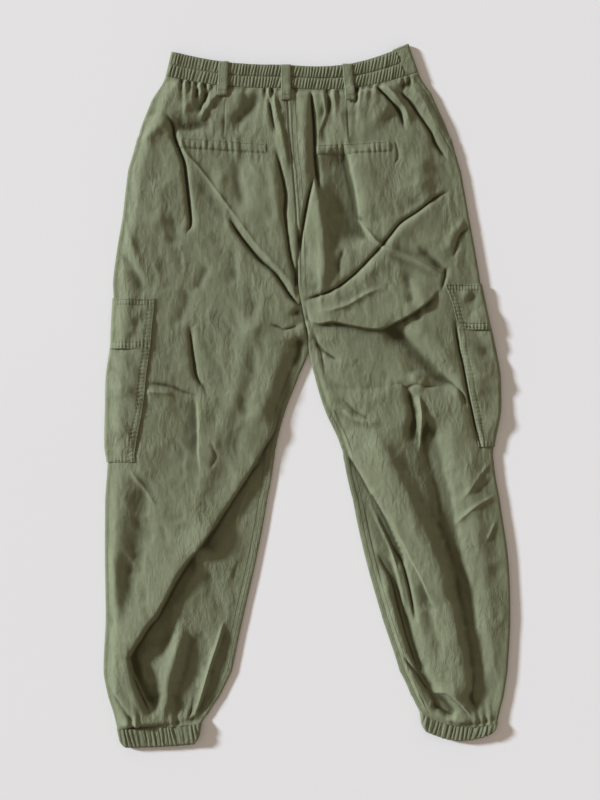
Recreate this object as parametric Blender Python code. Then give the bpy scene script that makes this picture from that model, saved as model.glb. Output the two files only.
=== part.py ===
"""Cargo trousers with an elastic back waistband and elastic cuffs, laid flat on their front.

The frame is in metres with +Z up. The cloth rests on z = 0 with its back facing up, the waist
towards +Y and the cuffs towards -Y. Each half of the garment is a run of sections across it:
a lower panel on the ground, an upper panel that lies on it, and rounded sides between the two.
"""

import math

import bmesh
import bpy
import numpy as np
from mathutils import Vector
from mathutils.bvhtree import BVHTree

MM = 0.001

# Cloth
WALL = 1.5  # panel wall, mm
GAP = 0.3  # clearance where two pieces meet, mm
SEAM_Z = 3.45  # height of the side seams above the ground, mm
TOP_Z = 6.9  # height of the upper panel just inside a side, mm
LOW_Z = 5.3  # lowest height that a crease takes the upper panel to, mm
ROLL = 4.5  # width of a rounded side, mm
LOFT = 3.2  # rise of the upper panel towards the middle of a leg, mm
LOFT_REACH = 85.0  # distance from a side over which it rises, mm

# Waistband and cuffs
BAND_TOP = 8.4  # height of the elastic band, mm
BAND_WALL = 2.3  # gathered band, mm
BAND_FRONT_WALL = 2.2  # plain front band, mm
BAND_WRAP = 21.0  # the plain band comes round the right side this far, mm
CUFF_TOP = 9.6
CUFF_WALL = 2.9

# Cargo pockets, which go round the side of each leg
POCKET_WALL = 1.7
POCKET_LIFT = 2.0  # cloth and clearance under the lower panel, mm
POCKET_UNDER = 92.0  # reach under the leg, mm
POCKET_RAMP = 16.0  # beyond it the lower panel comes back to the ground, mm
FLAP_WALL = 2.6  # upper half of the flap, mm

# Belt loops and welts
LOOP_WIDTH = 14.0
LOOP_WALL = 1.3
WELT_WALL = 1.3
WELT_GAP = 0.6  # clear of the panel's facets, mm

BACK_COLUMNS = 12  # facets from the pocket edge to the inner side
EDGE_COLUMNS = 3  # facets from the outer side to the pocket edge
ROLL_COLUMNS = 3
CLOTH = (0.157, 0.165, 0.101)  # olive green cotton
CLOTH_DARK = (0.130, 0.137, 0.084)
CLOTH_LIGHT = (0.176, 0.184, 0.115)
ROUGHNESS = 0.9

# One row for each section, from the waist seam to the cuff seams. Outer and inner ends of the
# left and right halves in mm, how far each section bows towards the waist, the width of a cargo
# pocket there, how far the pocket lifts the lower panel, how far the inner end has rolled over
# (0 on the centre seam, 1 on an inseam), and the facets down to the next section.
SECTION_COLUMNS = (
    "name", "lo_x", "lo_y", "li_x", "li_y", "ri_x", "ri_y", "ro_x", "ro_y",
    "bow_l", "bow_r", "pocket_l", "pocket_r", "lift_l", "lift_r", "roll", "facets",
)
SECTIONS = (
    ("waist_seam", -198.8, 448.0, -26.6, 431.2, -26.6, 431.2, 156.8, 453.6, -5.9, -11.5, 58, 50, 0, 0, 0.02, 1),
    ("yoke", -218.4, 414.4, -25.6, 397.6, -25.6, 397.6, 175.0, 424.2, -3.5, -8.5, 58, 50, 0, 0, 0.02, 2),
    ("welt_top", -236.3, 365.4, -23.1, 350.0, -23.1, 350.0, 200.2, 364.0, 0.0, -2.8, 58, 50, 0, 0, 0.02, 1),
    ("welt_bottom", -241.5, 350.7, -22.0, 336.7, -22.0, 336.7, 206.5, 348.6, 0.0, -2.8, 58, 50, 0, 0, 0.02, 1),
    ("hip", -251.3, 316.4, -18.6, 313.6, -18.6, 313.6, 216.3, 315.0, 0.0, 0.0, 58, 50, 0, 0, 0.02, 2),
    ("seat", -259.0, 250.6, -14.0, 250.6, -14.0, 250.6, 227.5, 250.6, 0.0, 0.0, 58, 50, 0, 0, 0.02, 2),
    ("seat_low", -266.7, 205.8, -13.0, 207.2, -13.0, 207.2, 235.9, 205.8, 0.0, 0.0, 59, 51, 0, 0, 0.02, 1),
    ("flap_top_r", -272.4, 161.0, -11.8, 152.6, -11.8, 152.6, 245.7, 157.5, 0.0, 0.0, 60, 51, 0, 1, 0.02, 1),
    ("flap_top_l", -273.6, 137.2, -7.7, 130.2, -7.7, 130.2, 251.6, 131.6, 0.0, 0.0, 60, 47, 1, 1, 0.30, 1),
    ("flap_base_r", -275.8, 96.6, -1.0, 93.8, -1.0, 93.8, 259.4, 95.9, 0.0, 0.0, 58, 46, 1, 1, 0.70, 1),
    ("crotch", -277.2, 69.3, 2.4, 64.4, 2.4, 64.4, 266.0, 65.8, 0.0, 0.0, 57, 50, 1, 1, 1.00, 1),
    ("thigh", -282.8, 29.4, -11.2, 29.4, 10.5, 29.4, 272.3, 29.4, 0.0, 0.0, 57, 48, 1, 1, 1.00, 1),
    ("thigh_mid", -284.2, -19.6, -30.1, -19.6, 25.2, -19.6, 273.0, -19.6, 0.0, 0.0, 53, 39, 1, 1, 1.00, 2),
    ("pocket_base_r", -284.9, -71.4, -43.4, -71.4, 47.6, -71.4, 264.0, -71.4, 0.0, 0.0, 44, 22, 1, 1, 1.00, 1),
    ("pocket_base_l", -282.0, -92.4, -46.9, -92.4, 52.5, -92.4, 262.5, -92.4, 0.0, 0.0, 40, 24, 1, 0, 1.00, 1),
    ("knee", -283.6, -145.6, -56.0, -145.6, 64.4, -145.6, 270.9, -145.6, 0.0, 0.0, 45, 40, 0, 0, 1.00, 3),
    ("calf_top", -283.8, -229.6, -71.4, -229.6, 82.6, -229.6, 282.8, -229.6, 0.0, 0.0, 50, 45, 0, 0, 1.00, 3),
    ("calf", -282.8, -313.6, -90.3, -313.6, 106.4, -313.6, 285.6, -313.6, 0.0, 0.0, 48, 42, 0, 0, 1.00, 3),
    ("calf_low", -285.6, -386.4, -105.7, -386.4, 130.2, -386.4, 281.7, -386.4, 0.0, -2.0, 44, 38, 0, 0, 1.00, 1),
    ("ankle_full", -279.3, -421.4, -122.5, -421.4, 145.6, -419.5, 276.0, -423.5, 0.0, -5.0, 40, 34, 0, 0, 1.00, 1),
    ("ankle", -271.6, -445.2, -138.0, -445.2, 152.6, -432.5, 271.0, -441.5, -0.5, -8.0, 34, 28, 0, 0, 1.00, 1),
    ("cuff_seam", -266.7, -467.6, -147.7, -459.2, 158.2, -444.5, 267.4, -459.2, -1.4, -11.0, 30, 26, 0, 0, 1.00, 0),
)

# The waistband's free edge and the cuffs' free edges, as above.
BAND_EDGE = {"lo": (-190.4, 483.0), "centre": (-29.4, 464.2), "ro": (142.8, 492.8), "bow": (-5.9, -13.3)}
CUFF_EDGE = {"l": ((-261.0, -492.8), (-152.6, -487.6), -1.4), "r": ((263.2, -472.6), (161.0, -467.6), -13.0)}

# The largest creases, each an arc on the plan. Start and end in mm, how far the arc swells to
# the left of the way it runs, how fast the cloth falls away on its left and on its right, and
# its height. A lap falls fast on one side, and a negative height is a trough.
FOLD_COLUMNS = ("name", "x0", "y0", "x1", "y1", "swell", "left", "right", "height")
FOLDS = (
    ("left_leg_lap", -39.0, -35.0, -249.0, -361.0, 6, 13, 48, 6.0),
    ("right_leg_lap", 49.0, -63.0, 172.0, -259.0, -4, 46, 13, 6.0),
    ("crotch_lap_right", -1.0, 105.0, 182.0, 148.0, -34, 44, 13, 5.5),
    ("seat_ridge_left", -158.0, 336.0, -7.0, 140.0, -4, 20, 17, 4.5),
    ("seat_trough_left", -106.0, 246.0, -3.0, 116.0, -3, 11, 11, -3.0),
    ("seat_trough_right", -3.0, 133.0, 186.0, 281.0, -10, 12, 12, -3.2),
    ("centre_overlap", 8.0, 305.0, -8.0, 165.0, 3, 26, 10, 4.0),
    ("seat_hollow_right", 6.0, 424.0, 14.0, 291.0, 2, 12, 12, -3.0),
    ("hip_trough_left", -196.0, 385.0, -168.0, 230.0, -6, 12, 12, -2.5),
    ("thigh_trough_right", 111.0, 94.0, 185.0, 24.0, 4, 15, 15, -3.0),
    ("calf_trough_right", 153.0, -62.0, 232.0, -418.0, -10, 17, 17, -4.0),
    ("calf_trough_left", -196.0, -90.0, -246.0, -270.0, -8, 15, 15, -3.2),
    ("thigh_ridge_left", -164.0, 110.0, -150.0, -75.0, 3, 22, 22, 3.0),
    ("calf_ridge_right", 122.0, -180.0, 196.0, -400.0, -8, 20, 20, 3.2),
    ("yoke_trough_right", 84.0, 428.0, 136.0, 376.0, 6, 12, 12, -2.4),
)

BELT_LOOPS = (
    # name, x of the top, x of the bottom, y of the top, y of the bottom, mm
    ("left", -116.2, -118.6, 468.2, 418.6),
    ("centre", -29.4, -29.4, 463.6, 412.4),
    ("right", 56.4, 60.4, 465.0, 411.0),
)


def smooth(value):
    """0 to 1 with level ends."""
    value = np.clip(value, 0.0, 1.0)
    return value * value * (3.0 - 2.0 * value)


def fold_height(x, y):
    """What the creases add to the upper panel's height at a place on the plan, in mm."""
    total = np.zeros_like(x)
    for row in FOLDS:
        fold = dict(zip(FOLD_COLUMNS, row))
        run_x, run_y = fold["x1"] - fold["x0"], fold["y1"] - fold["y0"]
        length = math.hypot(run_x, run_y)
        off_x, off_y = x - fold["x0"], y - fold["y0"]
        along = (off_x * run_x + off_y * run_y) / length**2
        across = (off_y * run_x - off_x * run_y) / length
        across = across - 4.0 * fold["swell"] * along * (1.0 - along)
        width = np.where(across > 0.0, fold["left"], fold["right"])
        ends = smooth((along + 0.06) / 0.16) * smooth((1.06 - along) / 0.16)
        total = total + fold["height"] * ends * np.exp(-((across / width) ** 2))
    return total


class Section:
    """One section across one half: where it lies on the plan and the height of its cloth."""

    def __init__(self, values, side):
        ends = ("lo", "li") if side == "left" else ("ro", "ri")
        suffix = side[0]
        self.outer = np.array([values[ends[0] + "_x"], values[ends[0] + "_y"]])
        self.inner = np.array([values[ends[1] + "_x"], values[ends[1] + "_y"]])
        self.bow = values["bow_" + suffix]
        self.pocket = values["pocket_" + suffix]
        self.lift = values["lift_" + suffix] * POCKET_LIFT
        self.roll = values["roll"]
        self.sign = 1.0 if side == "left" else -1.0
        chord = self.inner - self.outer
        self.chord = float(np.hypot(*chord))
        self.across = chord / self.chord
        # The pocket lies outside the panel, so the panel gives way to it.
        self.start = self.lift
        self.length = self.chord - self.lift - GAP / 2.0

    def plan(self, s):
        """The place on the plan at s mm from the panel's outer side."""
        share = (s + self.start) / self.chord
        x = self.outer[0] + self.across[0] * (s + self.start)
        y = self.outer[1] + self.across[1] * (s + self.start) + self.bow * np.sin(np.pi * share)
        return x, y

    def top(self, s):
        """Height of the upper panel's outside, before its sides roll over."""
        x, y = self.plan(s)
        from_inner = np.where(self.roll > 0.5, self.length - s, 400.0 * (1.0 - self.roll))
        near = np.minimum(s, np.maximum(from_inner, 0.0))
        loft = LOFT * smooth(near / LOFT_REACH)
        faded = smooth((s - 2.0) / 26.0) * np.where(self.roll > 0.9, smooth((self.length - s) / 22.0), 1.0)
        return np.maximum(TOP_Z + loft + fold_height(x, y) * faded, LOW_Z)

    def base(self, s):
        """Height of the lower panel's underside."""
        return self.lift * (1.0 - smooth((s - POCKET_UNDER) / POCKET_RAMP))

    def world(self, s, z):
        x, y = self.plan(s)
        return np.stack([x, y, z], axis=-1)


def rolled_end(flat_z, seam_z, width, sweep, count):
    """Steps round a side, from flat cloth to the seam: distance in, height and outward normal."""
    turn = max(sweep, 0.02) * math.pi / 2.0
    drop = flat_z - seam_z
    reach = width / math.sin(turn)
    steps = []
    for number in range(1, count + 1):
        angle = turn * number / count
        out = width - reach * math.sin(angle)
        normal = np.array([-drop * math.sin(angle), reach * math.cos(angle)])
        normal = normal / np.hypot(*normal)
        steps.append((out, flat_z - drop * (1.0 - math.cos(angle)), normal))
    return steps


def profile(section, height, flat, seam_z, outer_sweep, inner_sweep):
    """The section's outside as rows of (s, z, normal s, normal z), from outer to inner end."""
    s = np.array(flat)
    z = height(s)
    slope = (height(s + 0.5) - height(s - 0.5)) / 1.0
    facing = 1.0 if seam_z < z[0] else -1.0
    normals = np.stack([-slope, np.ones_like(s)], axis=1)
    normals /= np.linalg.norm(normals, axis=1)[:, None]
    rows = [(s[i], z[i], facing * normals[i, 0], facing * normals[i, 1]) for i in range(len(s))]
    start = []
    for out, level, normal in rolled_end(z[0], seam_z, ROLL, outer_sweep, ROLL_COLUMNS):
        start.insert(0, (out, level, normal[0] if facing > 0 else -abs(normal[0]), normal[1]))
    finish = []
    for out, level, normal in rolled_end(z[-1], seam_z, ROLL, inner_sweep, ROLL_COLUMNS):
        finish.append((section.length - out, level, -normal[0] if facing > 0 else abs(normal[0]), normal[1]))
    if facing < 0:
        start = [(a, b, -abs(c), -abs(d)) for a, b, c, d in start]
        finish = [(a, b, abs(c), -abs(d)) for a, b, c, d in finish]
    return np.array(start + rows + finish)


def eased(before, here, after, beyond, share):
    """A value between two sections, on a curve that runs on into those on either side."""
    leave = (after - before) / 2.0
    arrive = (beyond - here) / 2.0
    step = after - here
    # Neither end runs steeper than the step allows, so an outline never swings past its sections.
    leave = np.clip(leave, -3.0 * abs(step), 3.0 * abs(step))
    arrive = np.clip(arrive, -3.0 * abs(step), 3.0 * abs(step))
    curve = (share**3 - 2.0 * share**2 + share) * leave + (share**3 - share**2) * arrive
    return here + step * (3.0 * share**2 - 2.0 * share**3) + curve


def stations():
    """Every section's values, with the facets between the named ones filled in."""
    rows = [dict(zip(SECTION_COLUMNS, section)) for section in SECTIONS]
    listed = []
    for number, here in enumerate(rows):
        listed.append((here["name"], here))
        for step in range(1, here["facets"]):
            share = step / here["facets"]
            after = rows[number + 1]
            before, beyond = rows[max(number - 1, 0)], rows[min(number + 2, len(rows) - 1)]
            between = {}
            for name in SECTION_COLUMNS[1:-1]:
                if name.endswith("_y") or name.startswith("lift") or name == "roll":
                    between[name] = here[name] + (after[name] - here[name]) * share
                else:
                    between[name] = eased(before[name], here[name], after[name], beyond[name], share)
            listed.append((f"{here['name']}_{step}", between))
    return listed


STATIONS = stations()
STATION = {name: number for number, (name, _) in enumerate(STATIONS)}


def make_object(name, faces_of, points, colour):
    """A closed mesh object with its own material."""
    mesh = bpy.data.meshes.new(name)
    mesh.from_pydata([tuple(float(c) * MM for c in point) for point in points], [], faces_of)
    mesh.validate()
    work = bmesh.new()
    work.from_mesh(mesh)
    bmesh.ops.recalc_face_normals(work, faces=work.faces)
    if work.calc_volume(signed=True) < 0.0:
        bmesh.ops.reverse_faces(work, faces=work.faces)
    work.to_mesh(mesh)
    work.free()
    mesh.shade_smooth()
    made = bpy.data.objects.new(name, mesh)
    bpy.context.scene.collection.objects.link(made)
    material = bpy.data.materials.new(name)
    material.use_nodes = True
    shader = material.node_tree.nodes["Principled BSDF"]
    shader.inputs["Base Color"].default_value = (*colour, 1.0)
    shader.inputs["Roughness"].default_value = ROUGHNESS
    shader.inputs["Metallic"].default_value = 0.0
    mesh.materials.append(material)
    return made


def make_shell(name, outside, inside, colour, ring=False):
    """A wall between two grids of points, rows by columns, closed at its edges."""
    rows, columns = outside.shape[:2]
    points = np.concatenate([outside.reshape(-1, 3), inside.reshape(-1, 3)])
    half = rows * columns

    def at(layer, row, column):
        return layer * half + row * columns + column % columns

    faces = []
    last = columns if ring else columns - 1
    for row in range(rows - 1):
        for column in range(last):
            corners = ((row, column), (row, column + 1), (row + 1, column + 1), (row + 1, column))
            faces.append([at(0, *corner) for corner in corners])
            faces.append([at(1, *corner) for corner in reversed(corners)])
    for row in (0, rows - 1):
        for column in range(last):
            faces.append([at(0, row, column), at(0, row, column + 1), at(1, row, column + 1), at(1, row, column)])
    if not ring:
        for column in (0, columns - 1):
            for row in range(rows - 1):
                faces.append([at(0, row, column), at(0, row + 1, column), at(1, row + 1, column), at(1, row, column)])
    return make_object(name, faces, points, colour)


def spread(start, stop, count):
    return list(np.linspace(start, stop, count + 1))


def upper_flat(section):
    """Distances from the outer side at which the upper panel has its columns."""
    inner = section.length - ROLL
    return spread(ROLL, section.pocket, EDGE_COLUMNS)[:-1] + spread(section.pocket, inner, BACK_COLUMNS)


def lower_flat(section):
    inner = section.length - ROLL
    ramp = POCKET_UNDER + POCKET_RAMP
    under = min(POCKET_UNDER, inner * 0.62)
    ramp = min(ramp, inner * 0.76)
    return [ROLL, under * 0.5, under, ramp, (ramp + inner) / 2.0, inner]


def upper_profile(section):
    return profile(section, section.top, upper_flat(section), SEAM_Z + GAP / 2.0, 1.0, section.roll)


def lower_profile(section):
    return profile(section, section.base, lower_flat(section), SEAM_Z - GAP / 2.0, 1.0, section.roll)


def moved(section, rows, distance):
    """The rows of a profile moved out along their normals, as points."""
    return section.world(rows[:, 0] + rows[:, 2] * distance, rows[:, 1] + rows[:, 3] * distance)


def make_panels():
    for side in ("left", "right"):
        for name, shape in (("back", upper_profile), ("front", lower_profile)):
            outside, inside = [], []
            for _, values in STATIONS:
                section = Section(values, side)
                rows = shape(section)
                outside.append(moved(section, rows, 0.0))
                wall = moved(section, rows, -WALL)
                if name == "front":
                    # Where a pocket lifts the panel its side is thin, so it stays under the seam.
                    wall[:ROLL_COLUMNS, 2] = np.minimum(wall[:ROLL_COLUMNS, 2], SEAM_Z - GAP / 2.0)
                inside.append(wall)
            make_shell(f"{name}_{side}", np.array(outside), np.array(inside), CLOTH)


def trimmed_sections(side, first, last, trim):
    """The sections from one named row to another, with trim mm taken off each end."""
    chosen = [dict(values) for _, values in STATIONS[STATION[first] : STATION[last] + 1]]
    keys = [name for name in SECTION_COLUMNS[1:-1] if not name.startswith("lift")]
    for end, beside in ((0, 1), (-1, -2)):
        run = abs(chosen[end]["lo_y"] - chosen[beside]["lo_y"])
        share = trim / run
        for key in keys:
            chosen[end][key] += (chosen[beside][key] - chosen[end][key]) * share
    return [Section(values, side) for values in chosen]


def make_wrap(name, side, first, last, upper_wall, colour):
    """A pocket or flap made from the panels' points, moved out, round the side of a leg."""
    outside, inside = [], []
    for section in trimmed_sections(side, first, last, 0.2):
        over = upper_profile(section)[: ROLL_COLUMNS + EDGE_COLUMNS + 1]
        under = lower_profile(section)[: ROLL_COLUMNS + 3]
        path = np.concatenate([over[::-1], under])
        wall = np.full(len(path), POCKET_WALL)
        wall[:EDGE_COLUMNS] = upper_wall
        near = moved(section, path, GAP)
        far = section.world(
            path[:, 0] + path[:, 2] * (GAP + wall),
            np.maximum(path[:, 1] + path[:, 3] * (GAP + wall), 0.0),
        )
        inside.append(near)
        outside.append(far)
    make_shell(name, np.array(outside), np.array(inside), colour)


def make_pockets():
    for side, mark in (("left", "l"), ("right", "r")):
        flap_end = "crotch" if side == "left" else "flap_base_r"
        make_wrap(f"cargo_flap_{side}", side, f"flap_top_{mark}", flap_end, FLAP_WALL, CLOTH_LIGHT)
        make_wrap(f"cargo_pocket_{side}", side, flap_end, f"pocket_base_{mark}", POCKET_WALL, CLOTH)


def make_welts():
    """The flat back-pocket welts, on the points of the upper panels."""
    for side, first, last in (("left", 0.29, 0.84), ("right", 0.14, 0.61)):
        outside, inside = [], []
        for section in trimmed_sections(side, "welt_top", "welt_bottom", 0.2):
            flat = upper_flat(section)
            if side == "right":
                first_s, last_s = section.length * (1.0 - last), section.length * (1.0 - first)
            else:
                first_s, last_s = section.length * first, section.length * last
            kept = [s for s in flat if first_s - 12.0 < s < last_s + 12.0]
            kept[0], kept[-1] = first_s, last_s
            s = np.array(kept)
            z = np.interp(s, flat, section.top(np.array(flat)))
            inside.append(section.world(s, z + WELT_GAP))
            outside.append(section.world(s, z + WELT_GAP + WELT_WALL))
        make_shell(f"back_welt_{side}", np.array(outside), np.array(inside), CLOTH_DARK)


def band_section(share, side):
    """A section of the waistband, from the waist seam (0) to its free edge (1)."""
    values = dict(STATIONS[0][1])
    seam = Section(values, side)
    edge_outer = np.array(BAND_EDGE["lo" if side == "left" else "ro"])
    edge_inner = np.array(BAND_EDGE["centre"])
    ends = ("lo", "li") if side == "left" else ("ro", "ri")
    outer = seam.outer + (edge_outer - seam.outer) * share
    inner = seam.inner + (edge_inner - seam.inner) * share
    values[ends[0] + "_x"], values[ends[0] + "_y"] = outer
    values[ends[1] + "_x"], values[ends[1] + "_y"] = inner
    bow = BAND_EDGE["bow"][0 if side == "left" else 1]
    key = "bow_" + side[0]
    values[key] = values[key] + (bow - values[key]) * share
    return Section(values, side)


def band_rows(share):
    """Paths of the elastic back band and the plain front band across one level."""
    left, right = band_section(share, "left"), band_section(share, "right")

    def flat_top(s):
        return np.full_like(s, BAND_TOP)

    def flat_base(s):
        return np.zeros_like(s)

    def columns(section, side, panel_flat):
        """The panels' own columns, so that the band and the panels meet in the same curve."""
        seam = Section(dict(STATIONS[0][1]), side)
        share = np.array(panel_flat(seam)[:-1] + [seam.length]) / seam.length
        return list(np.maximum(share * (section.length + GAP / 2.0 - 0.01), ROLL))

    def one(section, side, height, panel_flat, wall, seam_z):
        flat = columns(section, side, panel_flat)
        rows = profile(section, height, flat, seam_z, 1.0, 0.02)[: ROLL_COLUMNS + len(flat)]
        return moved(section, rows, 0.0), moved(section, rows, -wall)

    left_out, left_in = one(left, "left", flat_top, upper_flat, BAND_WALL, SEAM_Z + GAP / 2.0)
    s = np.array(columns(right, "right", upper_flat))
    s = np.append(BAND_WRAP + GAP / 2.0, s[s > BAND_WRAP + 2.0])[::-1][1:]
    right_out = right.world(s, np.full_like(s, BAND_TOP))
    right_in = right.world(s, np.full_like(s, BAND_TOP - BAND_WALL))
    back = np.concatenate([left_out, right_out]), np.concatenate([left_in, right_in])

    base_out, base_in = one(left, "left", flat_base, lower_flat, BAND_FRONT_WALL, SEAM_Z - GAP / 2.0)
    under_out, under_in = one(right, "right", flat_base, lower_flat, BAND_FRONT_WALL, SEAM_Z)
    over = profile(right, flat_top, [ROLL, BAND_WRAP - GAP / 2.0], SEAM_Z, 1.0, 0.02)
    over = over[: ROLL_COLUMNS + 2]
    over_out = moved(right, over, 0.0)
    over_in = moved(right, over, -BAND_FRONT_WALL)
    front_out = np.concatenate([base_out, under_out[::-1][1:], over_out[1:]])
    front_in = np.concatenate([base_in, under_in[::-1][1:], over_in[1:]])
    return back, (front_out, front_in)


def make_waistband():
    length = 35.0
    levels = [GAP / length, 0.5, 1.0]
    made = [band_rows(level) for level in levels]
    for number, name in enumerate(("waistband_back", "waistband_front")):
        outside = np.array([rows[number][0] for rows in made])
        inside = np.array([rows[number][1] for rows in made])
        make_shell(name, outside, inside, CLOTH_DARK if number == 0 else CLOTH)


def make_cuffs():
    """An elastic ring at the foot of each leg."""
    for side in ("left", "right"):
        outside, inside = [], []
        edge = CUFF_EDGE[side[0]]
        for share in (0.012, 0.35, 1.0):
            values = dict(STATIONS[-1][1])
            ends = ("lo", "li") if side == "left" else ("ro", "ri")
            seam = Section(values, side)
            outer = seam.outer + (np.array(edge[0]) - seam.outer) * share
            inner = seam.inner + (np.array(edge[1]) - seam.inner) * share
            values[ends[0] + "_x"], values[ends[0] + "_y"] = outer
            values[ends[1] + "_x"], values[ends[1] + "_y"] = inner
            key = "bow_" + side[0]
            values[key] = values[key] + (edge[2] - values[key]) * share
            section = Section(values, side)
            flat = spread(ROLL, section.length - ROLL, 8)
            over = profile(section, lambda s: np.full_like(s, CUFF_TOP), flat, CUFF_TOP / 2.0, 1.0, 1.0)
            under = profile(section, np.zeros_like, flat, CUFF_TOP / 2.0, 1.0, 1.0)
            path = np.concatenate([over, under[::-1][1:-1]])
            outside.append(moved(section, path, 0.0))
            inside.append(moved(section, path, -CUFF_WALL))
        make_shell(f"cuff_{side}", np.array(outside), np.array(inside), CLOTH_DARK, ring=True)


def surface_of(names):
    """The top of the named objects, as a function of a place on the plan in mm."""
    trees = []
    for name in names:
        work = bmesh.new()
        work.from_mesh(bpy.data.objects[name].data)
        bmesh.ops.triangulate(work, faces=work.faces)
        trees.append(BVHTree.FromBMesh(work))
        work.free()

    def height(x, y):
        hits = [tree.ray_cast(Vector((x * MM, y * MM, 0.2)), Vector((0, 0, -1)))[0] for tree in trees]
        return max([hit.z / MM for hit in hits if hit is not None], default=0.0)

    return height


def make_belt_loops():
    """Flat strips from the band's free edge over the waist seam on to the panel."""
    height = surface_of(("back_left", "back_right", "waistband_back"))
    samples = np.linspace(0.0, 1.0, 41)
    for name, top_x, bottom_x, top_y, bottom_y in BELT_LOOPS:
        under = []
        for share in samples:
            x = top_x + (bottom_x - top_x) * share
            y = top_y + (bottom_y - top_y) * share
            across = np.linspace(x - LOOP_WIDTH / 2.0 - 1.0, x + LOOP_WIDTH / 2.0 + 1.0, 7)
            under.append(max(height(place, y) for place in across))
        under = np.array(under)
        shares = (0.0, 0.35, 0.66, 0.8, 1.0)
        outside, inside = [], []
        for number, share in enumerate(shares):
            low = shares[max(number - 1, 0)]
            high = shares[min(number + 1, len(shares) - 1)]
            level = under[(samples >= low) & (samples <= high)].max() + GAP
            x = top_x + (bottom_x - top_x) * share
            y = top_y + (bottom_y - top_y) * share
            across = [x - LOOP_WIDTH / 2.0, x, x + LOOP_WIDTH / 2.0]
            inside.append([(place, y, level) for place in across])
            outside.append([(place, y, level + LOOP_WALL) for place in across])
        make_shell(f"belt_loop_{name}", np.array(outside), np.array(inside), CLOTH_LIGHT)


def main():
    for existing in list(bpy.data.objects):
        bpy.data.objects.remove(existing, do_unlink=True)
    make_panels()
    make_pockets()
    make_welts()
    make_waistband()
    make_cuffs()
    make_belt_loops()


main()
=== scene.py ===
"""Cargo trousers with an elastic back waistband and elastic cuffs, laid flat with the back up.

The frame is the CAD's own, in metres with +Z up. Tables are in millimetres. Each panel is a sheet
of cloth that follows the sections of the garment, with the listed creases laid in.
"""

import math

import bmesh
import bpy
import numpy as np
from bpy.props import FloatProperty, FloatVectorProperty, PointerProperty
from bpy.types import Operator, Panel, PropertyGroup
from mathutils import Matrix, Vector
from mathutils.bvhtree import BVHTree


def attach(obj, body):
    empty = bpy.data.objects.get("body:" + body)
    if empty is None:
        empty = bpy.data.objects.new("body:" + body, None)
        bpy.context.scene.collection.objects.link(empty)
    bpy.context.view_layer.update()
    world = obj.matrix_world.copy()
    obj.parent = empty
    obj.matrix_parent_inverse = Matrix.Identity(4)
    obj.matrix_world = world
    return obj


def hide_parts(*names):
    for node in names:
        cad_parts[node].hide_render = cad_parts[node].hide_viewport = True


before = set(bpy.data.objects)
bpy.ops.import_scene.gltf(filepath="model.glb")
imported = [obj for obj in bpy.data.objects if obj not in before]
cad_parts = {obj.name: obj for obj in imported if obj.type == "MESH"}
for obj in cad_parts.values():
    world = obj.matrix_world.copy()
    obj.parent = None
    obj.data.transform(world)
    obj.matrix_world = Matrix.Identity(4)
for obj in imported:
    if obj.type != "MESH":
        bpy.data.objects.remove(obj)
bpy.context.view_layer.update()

bl_info = {
    "name": "Cargo trousers, laid flat",
    "version": (1, 0, 0),
    "blender": (4, 5, 0),
    "location": "View3D > Sidebar > Trousers",
    "description": "Olive cotton cargo trousers with elastic back and cuffs, laid flat with the back up",
    "category": "Object",
}

MM = 0.001

# The garment's own sizes, mm
SEAM_Z = 3.4  # height of the side seams above the surface
TOP_Z = 7.2  # upper panel just inside a side
LOW_Z = 3.6  # lowest level that a crease takes it to
ROLL = 4.5  # width of a rounded side
LOFT = 6.2  # rise of the cloth towards the middle of a leg
LOFT_REACH = 62.0  # how far in from a side it rises
WELT_SPAN = {"left": (0.29, 0.84), "right": (0.39, 0.86)}  # the share of a half that each crosses
WELT_STITCHES = {"left": (0.30, 0.83), "right": (0.40, 0.85)}  # and the share that is stitched
INSEAM_STITCHES = (6.5, 12.5)  # rows of stitches, from the inner side of a leg
POCKET_LIFT = 2.0  # a pocket under the leg lifts the lower panel this much
POCKET_UNDER = 92.0  # reach of a pocket under the leg
POCKET_RAMP = 16.0  # over which the panel comes down again past it
POCKET_LENGTH = 170.0
POCKET_STITCHES = (2.2, 9.0)  # rows of stitches, from a pocket's inner edge
FLAP_LENGTH = 66.0
FLAP_STITCHES = (2.4, 9.0)  # the same from a flap's edges
BAND_TOP = 8.6
BAND_PITCH = 4.5  # from one gather of the elastic band to the next
BAND_WRAP = 21.0  # the plain front band comes round the right side this far
CUFF_TOP = 10.4
LOOP_WIDTH = 14.0
CENTRE_X = -26.6  # the centre back seam at the waist
CALF_TILT = 17.0  # fall of the left calf from its outer side to its inner
SEAT_TILT = 9.0  # the same for the left seat
STITCH_GAP = 0.9  # between one stitch and the next
THREAD_RADIUS = 0.34
ROLL_STEPS = 5  # steps round a side that shows
UNDER_STEPS = 4  # and round one underneath

# How the creases are shaped, mm and shares
CREASE_DEPTH = 1.45  # of every crease, against its height in the table
SHARP = 6.0  # a side up to this wide is sharp
SHARP_SHARE = 0.52  # which narrows it to this share of its width
SHORT = 80.0  # a sharp trough up to this long is short
SHORT_SHARE = 0.72  # which lowers it to this share of its depth

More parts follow.
